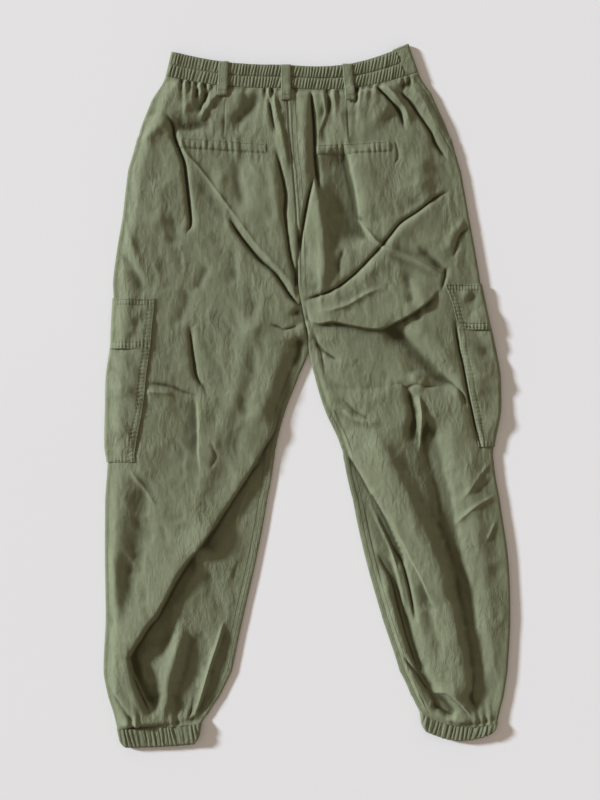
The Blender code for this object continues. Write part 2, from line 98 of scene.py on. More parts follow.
# One row for each section across the garment, from the waist seam to the cuff seams: the outer and
# inner ends of the left and right halves, how far each bows towards the waist, the width of a cargo
# pocket there, how far the pocket lifts the lower panel, and how far the inner end has rolled over.
SECTION_COLUMNS = (
    "name", "lo_x", "lo_y", "li_x", "li_y", "ri_x", "ri_y", "ro_x", "ro_y",
    "bow_l", "bow_r", "pocket_l", "pocket_r", "lift_l", "lift_r", "roll",
)
SECTIONS = (
    ("waist_seam", -198.8, 448, -26.6, 431.2, -26.6, 431.2, 156.8, 453.6, -5.9, -11.5, 58, 50, 0, 0, 0.02),
    ("yoke", -218.4, 414.4, -25.6, 397.6, -25.6, 397.6, 175, 424.2, -3.5, -8.5, 58, 50, 0, 0, 0.02),
    ("welt_top", -236.3, 365.4, -23.1, 350, -23.1, 350, 200.2, 364, 0, -2.8, 58, 50, 0, 0, 0.02),
    ("welt_bottom", -241.5, 350.7, -22, 336.7, -22, 336.7, 206.5, 348.6, 0, -2.8, 58, 50, 0, 0, 0.02),
    ("hip", -251.3, 316.4, -18.6, 313.6, -18.6, 313.6, 216.3, 315, 0, 0, 58, 50, 0, 0, 0.02),
    ("seat", -259, 250.6, -14, 250.6, -14, 250.6, 227.5, 250.6, 0, 0, 58, 50, 0, 0, 0.02),
    ("seat_low", -266.7, 205.8, -13, 207.2, -13, 207.2, 235.9, 205.8, 0, 0, 59, 51, 0, 0, 0.02),
    ("flap_top_r", -272.4, 161, -11.8, 152.6, -11.8, 152.6, 245.7, 157.5, 0, 0, 60, 51, 0, 1, 0.02),
    ("flap_top_l", -273.6, 137.2, -7.7, 130.2, -7.7, 130.2, 251.6, 131.6, 0, 0, 60, 47, 1, 1, 0.3),
    ("flap_base_r", -275.8, 96.6, -1, 93.8, -1, 93.8, 259.4, 95.9, 0, 0, 58, 46, 1, 1, 0.7),
    ("crotch", -277.2, 69.3, 2.4, 64.4, 2.4, 64.4, 266, 65.8, 0, 0, 57, 50, 1, 1, 1.0),
    ("thigh", -282.8, 29.4, -11.2, 29.4, 10.5, 29.4, 272.3, 29.4, 0, 0, 57, 48, 1, 1, 1.0),
    ("thigh_mid", -284.2, -19.6, -30.1, -19.6, 25.2, -19.6, 273, -19.6, 0, 0, 53, 39, 1, 1, 1.0),
    ("pocket_base_r", -284.9, -71.4, -43.4, -71.4, 47.6, -71.4, 264, -71.4, 0, 0, 44, 22, 1, 1, 1.0),
    ("pocket_base_l", -282, -92.4, -46.9, -92.4, 52.5, -92.4, 262.5, -92.4, 0, 0, 40, 24, 1, 0, 1.0),
    ("knee", -283.6, -145.6, -56, -145.6, 64.4, -145.6, 270.9, -145.6, 0, 0, 45, 40, 0, 0, 1.0),
    ("calf_top", -283.8, -229.6, -71.4, -229.6, 82.6, -229.6, 282.8, -229.6, 0, 0, 50, 45, 0, 0, 1.0),
    ("calf", -282.8, -313.6, -90.3, -313.6, 106.4, -313.6, 285.6, -313.6, 0, 0, 48, 42, 0, 0, 1.0),
    ("calf_low", -285.6, -386.4, -105.7, -386.4, 130.2, -386.4, 281.7, -386.4, 0, -2, 44, 38, 0, 0, 1.0),
    ("ankle_full", -279.3, -421.4, -122.5, -421.4, 145.6, -419.5, 276, -423.5, 0, -5, 40, 34, 0, 0, 1.0),
    ("ankle", -271.6, -445.2, -138, -445.2, 152.6, -432.5, 271, -441.5, -0.5, -8, 34, 28, 0, 0, 1.0),
    ("cuff_seam", -266.7, -467.6, -147.7, -459.2, 158.2, -444.5, 267.4, -459.2, -1.4, -11, 30, 26, 0, 0, 1.0),
)
# The free edges of the band and the cuffs: the outer end, the inner end and the bow
BAND_EDGE = {"left": ((-190.4, 483.0), (-29.4, 464.2), -5.9), "right": ((142.8, 492.8), (-29.4, 464.2), -13.3)}
CUFF_EDGE = {"left": ((-261.0, -492.8), (-152.6, -487.6), -1.4), "right": ((263.2, -472.6), (161.0, -467.6), -13.0)}
ENDS = {"left": ("lo", "li"), "right": ("ro", "ri")}  # the outer and inner end of a half
FLAP_END = {"left": "crotch", "right": "flap_base_r"}  # the section where a flap ends

# Creases on the plan: the height, how far the cloth takes to fall away on the left of the way that
# the line runs and on its right, the x and y of each place it goes through, and for a lap how far
# its crest leans out over its short side. All in mm. The height is negative for a trough.
CREASES = (
    # yoke and left hip
    (-6, 5, 4, (-195, 391, -188, 378, -185, 360, -178, 343, -172, 325, -169, 301, -165, 266, -163, 241, -167, 230)),
    (3, 9, 9, (-232, 352, -222, 364, -208, 374, -196, 390)),
    (-4.5, 10, 9, (-187, 388, -170, 376, -150, 379, -136, 377)),
    (-4, 5, 6, (-134, 430, -141, 418, -147, 406, -150, 392)),
    (2.6, 6, 7, (-122, 424, -131, 414, -141, 400, -150, 384)),
    (2.6, 7, 7, (-158, 428, -164, 410, -172, 396)),
    (-2.6, 6, 6, (-150, 432, -157, 414)),
    (-3.2, 12, 12, (-64, 428, -78, 404, -96, 384, -108, 366)),
    (2, 12, 12, (-92, 426, -100, 404, -116, 386)),
    (-4.2, 4, 4, (-58, 431, -52, 406, -47, 382, -44, 364)),
    (2.4, 5, 8, (-50, 428, -43, 400, -36, 372, -30, 340, -26, 312)),
    (-3.6, 5, 5, (-44, 345, -38, 322, -30, 282, -31, 256, -27, 224, -23, 196, -14, 160, -9, 134)),
    (2.2, 8, 8, (-52, 330, -48, 300, -42, 262, -40, 230)),
    (-2, 16, 16, (-214, 430, -222, 408, -228, 392)),
    # the long diagonal of the left seat
    (1.3, 2.4, 2.8, (-176, 360, -169, 339, -150, 318, -108, 262, -66, 206, -31, 168, -10, 144)),
    (-2, 12, 12, (-158, 306, -128, 268, -104, 240)),
    (-2.8, 9, 10, (-96, 334, -99, 304, -92, 262)),
    (1.6, 15, 15, (-72, 330, -70, 290, -62, 250)),
    (-5.5, 4.5, 4, (-108, 247, -94, 225, -69, 194, -45, 172, -24, 141, -6, 122)),
    (-3.6, 8, 8, (-18, 122, -8, 110, -4, 98)),
    # left seat and thigh
    (-1.3, 6.5, 6.5, (-104, 212, -102, 184, -101, 158)),
    (-1.8, 7, 7, (-138, 184, -149, 160, -158, 146)),
    (-2, 9, 9, (-186, 254, -185, 232, -184, 208)),
    (-2.6, 8, 9, (-260, 204, -246, 180, -234, 158, -224, 140)),
    (2.2, 8, 8, (-254, 240, -246, 212, -232, 180, -218, 156)),
    (-1.8, 8, 8, (-80, 160, -76, 128, -73, 98)),
    (-1.8, 8, 7, (-167, 152, -171, 124, -185, 98)),
    (1.8, 8, 8, (-210, 300, -204, 266, -208, 232)),
    (1.6, 9, 9, (-120, 318, -122, 290, -118, 268)),
    (-3.6, 6, 5, (-165, 98, -162, 76, -159, 52, -155, 28, -142, 8)),
    (-2.8, 5, 6, (-222, 18, -204, 16, -188, 13, -172, 6, -155, 1)),
    (2, 6, 6, (-224, 6, -204, 5, -188, 2)),
    (3.2, 13, 4, (-154, -1, -151, -30, -151, -75, -147, -104)),
    (-2.4, 7, 14, (-158, 8, -158, -24, -156, -58, -154, -82)),
    (3, 16, 15, (-70, 122, -84, 60, -98, -2, -124, -55, -144, -112, -160, -180)),
    (-3, 12, 12, (-76, 88, -80, 46, -84, 12, -98, -38)),
    (2.8, 13, 13, (-32, 78, -44, 30, -60, -12, -76, -42)),
    (-2.6, 3.5, 3.5, (-50, 100, -38, 96, -30, 93, -12, 98)),
    (-2.6, 9, 9, (-14, 84, -9, 62, -22, 40)),
    (1.5, 5, 5, (-247, -104, -230, -125, -212, -152)),
    (-2, 5, 5, (-134, -62, -128, -84, -134, -100)),
    # left calf: the long lap and what lies under it
    (3.4, 3.6, 26, (-34, -29, -52, -56, -66, -77, -86, -110, -107, -142, -129, -173, -150, -203, -166, -224), 1.8),
    (4.4, 3.6, 22, (-128, -172, -150, -203, -166, -224, -184, -247, -195, -271, -209, -296, -230, -324,
        -251, -361), 2.4),
    (3, 3.4, 14, (-251, -352, -249, -372, -243, -396, -233, -420, -222, -440), 1),
    (-5, 22, 6, (-62, -90, -88, -126, -110, -161, -133, -196, -150, -218)),
    (-7, 30, 6, (-154, -220, -179, -259, -193, -284, -209, -314, -228, -342)),
    (-5, 19, 22, (-230, -112, -232, -150, -232, -182, -236, -216, -246, -256, -262, -302, -276, -334)),
    (2.6, 10, 10, (-276, -210, -272, -250, -266, -290, -262, -330)),
    (2, 12, 10, (-136, -212, -158, -256, -174, -304, -184, -352, -202, -412)),
    (-8.6, 30, 6, (-211, -314, -226, -337, -243, -364, -241, -392, -230, -421, -217, -446)),
    (-7, 11, 12, (-146, -330, -156, -366, -168, -404, -180, -446)),
    (3.4, 9, 9, (-176, -330, -186, -370, -196, -410, -200, -450)),
    (-4, 3.5, 3.5, (-158, -408, -161, -436, -166, -454)),
    (-4, 6, 6, (-272, -414, -256, -436, -240, -460)),
    (2.6, 6, 6, (-252, -368, -241, -396, -228, -424, -212, -446)),
    (-2.8, 8, 8, (-142, -242, -130, -276, -112, -314)),
    (3.6, 6, 6, (-117, -318, -126, -348, -136, -378, -148, -420, -158, -454)),
    (1.8, 5, 5, (-78, -124, -92, -156, -98, -180)),
    (-2, 6, 6, (-96, -230, -104, -262, -100, -292)),
    # centre back and right seat
    (-6.5, 4.5, 3.5, (5, 430, 8, 396, 10, 368, 11, 333, 17, 286)),
    (2.8, 8, 9, (-5, 416, -4, 372, -3, 318, -2, 290)),
    (2.4, 6, 6, (22, 424, 26, 398, 18, 370)),
    (-5, 4, 3.5, (9, 306, 0, 268, -8, 222, -13, 180, -15, 155, -4, 118, 6, 98)),
    (5.4, 9, 14, (8, 306, 14, 276, 19, 240, 22, 208, 23, 178, 21, 150)),
    (-3.4, 8, 8, (30, 414, 22, 380, 25, 344)),
    (-7.4, 7, 34, (48, 350, 56, 310, 64, 276, 70, 246, 82, 214)),
    (3.6, 40, 4, (58, 344, 63, 318, 70, 284, 75, 244)),
    (2.6, 12, 12, (70, 398, 66, 420, 84, 420)),
    (-3.6, 4, 4, (196, 286, 178, 276, 155, 258, 131, 242, 116, 224, 103, 208, 88, 192, 64, 168, 36, 148, -2, 134)),
    (1.8, 9, 9, (176, 264, 150, 246, 128, 226, 112, 200, 92, 178, 66, 156)),
    (3, 6, 6, (70, 250, 86, 228, 104, 209, 128, 198, 160, 184, 192, 168)),
    (-2.4, 7, 7, (158, 207, 178, 188, 194, 172)),
    (-3.2, 4, 4, (195, 180, 192, 164, 188, 150)),
    (-2.6, 5, 4, (232, 240, 216, 226, 210, 212, 205, 194)),
    (2.6, 7, 7, (222, 248, 204, 226, 194, 200)),
    (2.6, 15, 15, (152, 336, 156, 300, 148, 276)),
    (-1.2, 12, 12, (176, 330, 182, 300, 170, 276)),
    (4.8, 42, 3.4, (2, 106, 18, 103, 36, 106, 67, 100, 98, 96, 123, 105, 148, 119, 168, 134, 182, 148), 1.6),
    (1.8, 6, 6, (20, 117, 52, 125, 84, 143, 106, 151)),
    (-2.4, 8, 8, (137, 176, 144, 142, 140, 124)),
    (-2, 6, 6, (52, 206, 44, 184, 46, 166)),
    # right yoke
    (4.2, 26, 24, (70, 414, 92, 406, 112, 388)),
    (-5.5, 4, 4.5, (84, 434, 99, 430, 116, 413, 129, 397, 136, 376)),
    (2.6, 6, 5, (106, 436, 122, 420, 136, 402, 144, 382)),
    (-4.2, 5, 5, (126, 428, 141, 415, 155, 396, 172, 371, 180, 353, 194, 334)),
    (3, 9, 9, (146, 436, 162, 416, 178, 392, 192, 366)),
    (-2.4, 7, 7, (128, 430, 148, 440)),
    (-1.5, 3.5, 3.5, (119, 360, 124, 352, 127, 334, 121, 322)),
    # right thigh
    (-3.6, 4, 5, (14, 74, 22, 64, 32, 57, 44, 50)),
    (-2.6, 6, 5, (4, 98, 12, 80, 20, 60, 26, 30)),
    (3, 8, 8, (8, 60, 16, 30, 28, 2, 40, -24)),
    (-7, 12, 13, (110, 98, 134, 78, 152, 60, 172, 40, 204, 8)),
    (3, 14, 14, (142, 104, 164, 84, 186, 62, 204, 40)),
    (-0.7, 6.5, 6.5, (20, 22, 44, 14, 70, 11, 98, 14, 122, 9)),
    (-2, 4, 4, (118, 16, 132, 17, 140, 12, 152, 16, 172, 13, 188, 16)),
    (-3.4, 4, 5, (182, 28, 196, 22, 210, 12, 219, 0, 224, -16)),
    (-3.6, 3, 5, (207, 104, 212, 72, 219, 42, 224, 12, 231, -20, 238, -50, 245, -76)),
    (3.4, 8, 8, (150, 34, 154, 20, 166, 16)),
    (-4.6, 6, 7, (140, 13, 146, -4, 151, -28, 148, -62)),
    (4.2, 4, 4, (156, 2, 158, -14, 160, -36, 158, -74)),
    (2, 5, 5, (46, -16, 70, -32, 98, -38)),
    (-1.6, 5, 5, (50, -2, 66, -20, 90, -34)),
    # right calf
    (-9.2, 17, 18, (164, -34, 178, -88, 190, -142, 200, -195, 211, -238, 221, -288, 228, -324, 235, -358, 237, -410,
        239, -442)),
    (5.6, 15, 22, (92, -52, 122, -106, 147, -160, 170, -208, 190, -256, 206, -308, 220, -376, 230, -424)),
    (1.4, 13, 12, (224, -66, 230, -130, 240, -190, 250, -250, 256, -310, 254, -372, 246, -418)),
    (1.2, 5, 5, (262, -88, 246, -106, 234, -122, 216, -146)),
    (1.5, 5, 5, (268, -138, 246, -148, 228, -160, 206, -181)),
    (-0.9, 5, 5, (268, -108, 248, -126, 228, -140)),
    (1.4, 4, 4, (264, -176, 252, -202)),
    (4.2, 40, 3.6, (44, -54, 58, -78, 71, -97, 88, -125, 109, -160, 130, -194, 150, -232, 165, -261, 176, -290), 2.2),
    (-7.2, 6, 16, (60, -86, 80, -126, 102, -164, 120, -200, 136, -232)),
    (-4.2, 4, 4.5, (90, -134, 112, -178, 124, -208, 134, -234, 144, -272, 152, -314)),
    (2.6, 5, 5, (84, -140, 104, -184, 118, -216, 130, -262, 138, -300)),
    (-7.5, 10, 5, (100, -222, 118, -254, 130, -298, 143, -343, 156, -382, 169, -408, 184, -430, 204, -446)),
    (3.2, 7, 7, (104, -252, 116, -290, 128, -334, 140, -372, 154, -408, 168, -436)),
    (-4, 4, 4.5, (130, -358, 147, -380, 170, -410)),
    (3.6, 14, 3.2, (172, -418, 184, -414, 198, -415, 214, -428, 230, -447), 0.8),
    (-6.5, 8, 8, (176, -430, 190, -436, 204, -450)),
    (-2.6, 9, 9, (160, -262, 174, -314, 186, -364)),
    (-2.6, 5, 5, (240, -386, 234, -412, 236, -440)),
    (3, 5, 5, (78, -222, 88, -238, 84, -256)),
)

# Darts and the hip's own seam lines, narrow pressed grooves
GROOVES = (
    (-0.9, 1.3, 1.3, (-114, 420, -115, 396, -117, 356)),
    (-0.9, 1.3, 1.3, (55, 412, 57, 386, 58, 356)),
)

# Two rows of stitches along the right side seam, where it comes round to the back
SIDE_SEAM = (
    ((139, 446), (160, 420), (184, 372), (207, 330)),
    ((146, 448), (167, 422), (190, 374), (212, 330)),
)

BELT_LOOPS = (
    # name, x of the top, x of the bottom, y of the top, y of the bottom, mm
    ("left", -116.2, -118.6, 468.2, 418.6),
    ("centre", -29.4, -29.4, 463.6, 412.4),
    ("right", 56.4, 60.4, 465.0, 411.0),
)


def linear(hex_colour):
    """An sRGB hex colour as linear red, green and blue."""
    values = [int(hex_colour[i : i + 2], 16) / 255.0 for i in (1, 3, 5)]
    return tuple(v / 12.92 if v <= 0.04045 else ((v + 0.055) / 1.055) ** 2.4 for v in values)


# ---------------------------------------------------------------- settings


class TrousersSizes(PropertyGroup):
    cloth: FloatProperty(
        name="Cloth", description="Thickness of one layer of the cotton",
        default=0.0008, min=0.0003, max=0.002, unit="LENGTH",
    )
    doubled: FloatProperty(
        name="Doubled cloth", description="Thickness of a pocket, flap or welt, where the cotton is doubled",
        default=0.0013, min=0.0005, max=0.003, unit="LENGTH",
    )
    creases: FloatProperty(
        name="Creases", description="Depth of the creases, where 1 is as laid",
        default=1.0, min=0.0, max=1.3, subtype="FACTOR",
    )
    stitch: FloatProperty(
        name="Stitch", description="Length of one topstitch",
        default=0.0027, min=0.001, max=0.006, unit="LENGTH",
    )


class TrousersColours(PropertyGroup):
    cloth: FloatVectorProperty(
        name="Cotton", description="The dyed cotton",
        default=linear("#696d54"), size=3, subtype="COLOR",
    )
    faded: FloatVectorProperty(
        name="Faded cotton", description="The cotton where washing has rubbed it pale",
        default=linear("#7b7f65"), size=3, subtype="COLOR",
    )
    # The colour of the recesses is painted shade, darker where the cloth lies low
    painted_shade: FloatVectorProperty(
        name="Cotton in painted shade", description="The cotton in its recesses, darkened there as painted shade",
        default=linear("#3a3922"), size=3, subtype="COLOR",
    )
    thread: FloatVectorProperty(
        name="Thread", description="The topstitching",
        default=linear("#5d6046"), size=3, subtype="COLOR",
    )
    floor: FloatVectorProperty(
        name="Floor", description="The pale floor",
        default=linear("#e5e4e4"), size=3, subtype="COLOR",
    )


def sizes():
    """The settings for sizes."""
    return bpy.context.scene.trousers_sizes


def colours():
    """The settings for colours."""
    return bpy.context.scene.trousers_colours


# ---------------------------------------------------------------- shapes


def smooth(value):
    """0 to 1 with level ends."""
    value = np.clip(value, 0.0, 1.0)
    return value * value * (3.0 - 2.0 * value)


def lattice(i, j, seed):
    """A fixed value from -1 to 1 for a place on a grid."""
    mixed = (i * 374761393 + j * 668265263 + seed * 1274126177) & 0xFFFFFFFF
    mixed = ((mixed ^ (mixed >> 13)) * 1103515245) & 0xFFFFFFFF
    return ((mixed ^ (mixed >> 16)) & 0xFFFF) / 32767.5 - 1.0


def unevenness(x, y, size, seed):
    """Soft bumps about size mm across, from -1 to 1, the same on every run."""
    u, v = x / size, y / size
    i, j = np.floor(u).astype(np.int64), np.floor(v).astype(np.int64)
    a, b = smooth(u - i), smooth(v - j)
    low = lattice(i, j, seed) * (1 - a) + lattice(i + 1, j, seed) * a
    high = lattice(i, j + 1, seed) * (1 - a) + lattice(i + 1, j + 1, seed) * a
    return low * (1 - b) + high * b


def uneven_along(x, size, seed):
    """Soft bumps along one line."""
    return unevenness(x, np.zeros_like(x), size, seed)


def curve_through(points, step):
    """Places every step mm or so on a smooth line through the points."""
    points = np.array(points, dtype=float)
    padded = np.concatenate([[2 * points[0] - points[1]], points, [2 * points[-1] - points[-2]]])
    line = []
    for number in range(len(points) - 1):
        p0, p1, p2, p3 = padded[number : number + 4]
        count = max(2, int(np.hypot(*(p2 - p1)) / step))
        t = np.linspace(0.0, 1.0, count, endpoint=False)[:, None]
        line.append(
            0.5
            * (2 * p1 + (p2 - p0) * t + (2 * p0 - 5 * p1 + 4 * p2 - p3) * t**2 + (3 * p1 - p0 - 3 * p2 + p3) * t**3)
        )
    line.append(points[-1:])
    return np.concatenate(line)


class Crease:
    """A line on the plan that the cloth rises or falls along."""

    def __init__(self, row):
        self.height, left, right, points, *lean = row
        self.left, self.right = (side * SHARP_SHARE if side <= SHARP else side for side in (left, right))
        self.lean = lean[0] if lean else 0.0
        self.line = curve_through(np.reshape(points, (-1, 2)), 2.0)
        steps = np.diff(self.line, axis=0)
        lengths = np.hypot(steps[:, 0], steps[:, 1])
        self.run = np.concatenate([[0.0], np.cumsum(lengths)])
        self.length = self.run[-1]
        if self.length < SHORT and max(self.left, self.right) < 4.0 and self.height < 0.0:
            self.height *= SHORT_SHARE
        along = np.gradient(self.line, axis=0)
        self.along = along / np.hypot(along[:, 0], along[:, 1])[:, None]
        self.fade = min(34.0, 0.36 * self.length)
        self.reach = 2.4 * max(self.left, self.right) + 2.0

    def near(self, x, y):
        """Which places are near the line, how far across it they are, and how strong it is there."""
        low, high = self.line.min(axis=0) - self.reach, self.line.max(axis=0) + self.reach
        picked = np.nonzero((x > low[0]) & (x < high[0]) & (y > low[1]) & (y < high[1]))[0]
        if len(picked) == 0:
            return picked, None, None, None
        off_x = x[picked, None] - self.line[None, :, 0]
        off_y = y[picked, None] - self.line[None, :, 1]
        closest = np.argmin(off_x**2 + off_y**2, axis=1)
        number = np.arange(len(picked))
        off_x, off_y = off_x[number, closest], off_y[number, closest]
        way = self.along[closest]
        across = off_y * way[:, 0] - off_x * way[:, 1]
        run = self.run[closest] + off_x * way[:, 0] + off_y * way[:, 1]
        strength = smooth((run + 0.25 * self.fade) / self.fade)
        strength = strength * smooth((self.length + 0.25 * self.fade - run) / self.fade)
        return picked, across, strength, way


LINES = [Crease(row) for row in CREASES]
PRESSED = [Crease(row) for row in GROOVES]


def drawn_in(x, y, amount):
    """The plan's places drawn towards each sharp crease, so that the mesh is fine along it."""
    shape = x.shape
    x, y, amount = x.ravel().copy(), y.ravel().copy(), amount.ravel()
    for line in LINES + PRESSED:
        if min(line.left, line.right) > SHARP:
            continue
        picked, across, strength, way = line.near(x, y)
        if len(picked) == 0:
            continue
        pull = 0.66 * across * (1.0 - smooth(np.abs(across) / 13.0)) * smooth(strength * 3.0) * amount[picked]
        x[picked] += pull * way[:, 1]
        y[picked] -= pull * way[:, 0]
    return x.reshape(shape), y.reshape(shape)


def crease_height(x, y):
    """What the creases add to the cloth's height, in mm."""
    shape = x.shape
    x, y = x.ravel(), y.ravel()
    total = np.zeros_like(x)
    for line in LINES + PRESSED:
        picked, across, strength, _ = line.near(x, y)
        if len(picked):
            width = np.where(across > 0.0, line.left, line.right)
            # Cloth breaks along a narrow line and runs off almost straight on either side of it.
            blunt = np.maximum(0.5, 0.3 * width)
            away = np.sqrt(across**2 + blunt**2) - blunt
            total[picked] += line.height * strength * np.exp(-((away / (0.82 * width)) ** 1.25))
    return total.reshape(shape) * sizes().creases * CREASE_DEPTH


def leaned(x, y, amount):
    """The plan's places with each lap's crest pushed out over its short side."""
    shape = x.shape
    flat_x, flat_y = x.ravel(), y.ravel()
    new_x, new_y, amount = flat_x.copy(), flat_y.copy(), amount.ravel()
    for line in LINES:
        if line.lean == 0:
            continue
        picked, across, strength, way = line.near(flat_x, flat_y)
        if len(picked) == 0:
            continue
        out = -1.0 if line.right < line.left else 1.0
        push = out * line.lean * strength * np.exp(-((across / 4.0) ** 2)) * amount[picked]
        new_x[picked] -= push * way[:, 1]
        new_y[picked] += push * way[:, 0]
    return new_x.reshape(shape), new_y.reshape(shape)


def crumple(x, y):
    """The small unevenness of washed cotton, in mm."""
    turned, other = 0.97 * x + 0.24 * y, -0.24 * x + 0.97 * y
    soft = 0.8 * unevenness(x, y * 0.6, 36.0, 3) + 0.5 * unevenness(turned, other * 0.45, 15.0, 5)
    bent_x = turned + 6.0 * unevenness(x, y, 27.0, 8)
    bent_y = other + 6.0 * unevenness(x, y, 31.0, 6)
    broken = np.abs(unevenness(bent_x, bent_y * 0.5, 22.0, 7)) + 0.5 * np.abs(unevenness(bent_y * 0.6, bent_x, 12.0, 4))
    fine = 0.18 * unevenness(turned, other * 0.5, 6.0, 9)
    return soft + 1.5 * (0.5 - broken) + 1.4 * fine


class Section:
    """One section across one half: where it lies on the plan and how its cloth rises."""

    def __init__(self, values, side):
        suffix = side[0]
        self.outer, inner = (np.array([values[end + "_x"], values[end + "_y"]]) for end in ENDS[side])
        self.bow = values["bow_" + suffix]
        self.pocket = values["pocket_" + suffix]
        self.lift = values["lift_" + suffix] * POCKET_LIFT
        self.roll = values["roll"]
        chord = inner - self.outer
        self.chord = float(np.hypot(*chord))
        self.across = chord / self.chord
        self.length = self.chord - self.lift

    def plan(self, s):
        """The place on the plan at s mm from the panel's outer side."""
        share = (s + self.lift) / self.chord
        x = self.outer[0] + self.across[0] * (s + self.lift)
        y = self.outer[1] + self.across[1] * (s + self.lift) + self.bow * np.sin(np.pi * share)
        return x, y


def eased(before, here, after, beyond, share):
    """A value between two sections, on a curve that runs on into those on either side."""
    leave, arrive, step = (after - before) / 2.0, (beyond - here) / 2.0, after - here
    leave = np.clip(leave, -3.0 * abs(step), 3.0 * abs(step))
    arrive = np.clip(arrive, -3.0 * abs(step), 3.0 * abs(step))
    curve = (share**3 - 2.0 * share**2 + share) * leave + (share**3 - share**2) * arrive
    return here + step * (3.0 * share**2 - 2.0 * share**3) + curve


def sections_between(side, first, last, spacing):
    """Sections every spacing mm or so, from one named section to another."""
    rows = [dict(zip(SECTION_COLUMNS, section)) for section in SECTIONS]
    names = [row["name"] for row in rows]
    start, stop = names.index(first), names.index(last)
    made = []
    for number in range(start, stop):
        here, after = rows[number], rows[number + 1]
        before, beyond = rows[max(number - 1, 0)], rows[min(number + 2, len(rows) - 1)]
        count = max(1, round(abs(after["lo_y"] - here["lo_y"]) / spacing))
        for step in range(count):
            share = step / count
            between = {}
            for name in SECTION_COLUMNS[1:]:
                if name.endswith("_y") or name.startswith("lift") or name == "roll":
                    between[name] = here[name] + (after[name] - here[name]) * share
                else:
                    between[name] = eased(before[name], here[name], after[name], beyond[name], share)
            made.append(Section(between, side))
    made.append(Section(rows[stop], side))
    return made


def column(sections, name):
    """One value of each section, as a column."""
    return np.array([getattr(section, name) for section in sections])[:, None]


def places(x, y, z):
    """A grid of places from its x, y and z."""
    return np.stack([x, y, z], axis=-1)


def plan_of(sections, s):
    """Places on the plan for rows of distances from the outer side."""
    placed = [section.plan(s[number]) for number, section in enumerate(sections)]
    return np.array([p[0] for p in placed]), np.array([p[1] for p in placed])


def gathers(x, run, seed, pitch):
    """Small folds that start at an elastic seam and die out over run mm."""
    wander = x + 4.5 * unevenness(x, run * 0.4, 22.0, seed) + 0.10 * run * uneven_along(x, 40.0, seed + 3)
    wave = np.sin(2.0 * np.pi * wander / pitch) + 0.7 * np.sin(2.0 * np.pi * wander / (pitch * 1.63) + 1.0)
    return wave * np.clip(0.45 + 0.9 * uneven_along(x, 17.0, seed + 1), 0.0, 1.4)


def upper_height(sections, s, x, y):
    """Height of the upper panel's outside at places on the plan, before its sides roll over."""
    roll, length = column(sections, "roll"), column(sections, "length")
    from_inner = (length - s) + 400.0 * (1.0 - smooth(roll))
    near = np.minimum(s, np.maximum(from_inner, 0.0))
    leg = smooth((roll - 0.3) / 0.7)
    # The left half lies on its side, higher at the side seam, and the calf most of all.
    calf = smooth((-20.0 - y) / 200.0) * (x < 0.0)
    seat = smooth((-40.0 - x) / 120.0) * (1.0 - calf)
    loft = LOFT * smooth(near / (LOFT_REACH - 38.0 * np.maximum(calf, seat)))
    faded = smooth(s / 15.0) * (1.0 - leg * (1.0 - smooth((length - s) / 15.0)))
    from_waist = waist_y(x) - y
    from_cuff = y - cuff_y(x)
    ends = smooth(from_waist / 14.0) * smooth(from_cuff / 14.0)
    height = TOP_Z + loft + crease_height(x, y) * faded * (0.35 + 0.65 * ends) + crumple(x, y) * faded
    # The leg puffs out over the cuff seam.
    height = height + 2.2 * np.exp(-((from_cuff - 9.0) / 7.0) ** 2) * faded * leg
    height = height + 1.9 * puckers(x, y)
    # Along the inseams the doubled edge is pressed flat, inside a stitched line.
    height = height - 2.4 * leg * np.exp(-((length - s) / 16.0) ** 2)
    height = height - 0.7 * leg * np.exp(-((length - s - 14.5) / 1.3) ** 2)
    height = height + CALF_TILT * calf * (0.42 - s / length) * smooth(near / 18.0)
    height = height + SEAT_TILT * seat * (0.32 - s / length) * smooth(near / 24.0)
    # At its two ends the cloth comes down to the band and to the cuff that it is sewn to.
    for run, reach, end_z in ((from_waist, 11.0, BAND_TOP + 0.2), (from_cuff, 8.0, CUFF_TOP - 0.6)):
        rise = smooth(run / reach)
        height = height * rise + end_z * (1.0 - rise)
    # The elastic draws it into folds there.
    for run, depth, seed, pitch, reach in ((from_waist, 3.3, 11, 11.5, 18.0), (from_cuff, 2.0, 15, 12.0, 15.0)):
        drawn = depth * gathers(x, run, seed, pitch) * np.exp(-np.maximum(run, 0.0) / reach)
        height = height + drawn * (0.35 + 0.65 * smooth(run / 6.0)) * faded
    return LOW_Z + 0.9 * np.log1p(np.exp(np.clip((height - LOW_Z) / 0.9, -30.0, 30.0)))


def puckers(x, y):
    """Short uneven puckers that the stitching of the welts draws across the seat."""
    left = smooth((x + 182.0) / 8.0) * smooth((-52.0 - x) / 12.0)
    right = smooth((x - 14.0) / 12.0) * smooth((130.0 - x) / 10.0)
    middle = np.interp(x, (-178.0, -58.0, 20.0, 124.0), (355.0, 346.0, 345.0, 350.0))
    reach = np.where(y > middle, 10.0, 17.0) + 6.0 * uneven_along(x, 11.0, 83)
    near = np.exp(-((np.abs(y - middle) / reach) ** 2.0))
    wander = x + 3.0 * uneven_along(x, 17.0, 81) + 0.16 * (y - middle) * uneven_along(x, 23.0, 87)
    wave = np.abs(np.sin(np.pi * wander / 8.6)) * (0.55 + 0.6 * unevenness(x, y, 12.0, 85))
    return wave * near * (left + right)


def waist_y(x):
    """Where the waist seam runs, in mm."""
    left = np.interp(x, (-198.8, -112.0, CENTRE_X), (448.0, 434.0, 431.2))
    return np.where(x < CENTRE_X, left, np.interp(x, (CENTRE_X, 65.0, 156.8), (431.2, 431.0, 453.6)))


def cuff_y(x):
    """Where the cuff seams run, in mm."""
    left = np.interp(x, (-266.7, -147.7), (-467.6, -459.2))
    return np.where(x < 0.0, left, np.interp(x, (158.2, 212.0, 267.4), (-444.5, -462.0, -459.2)))


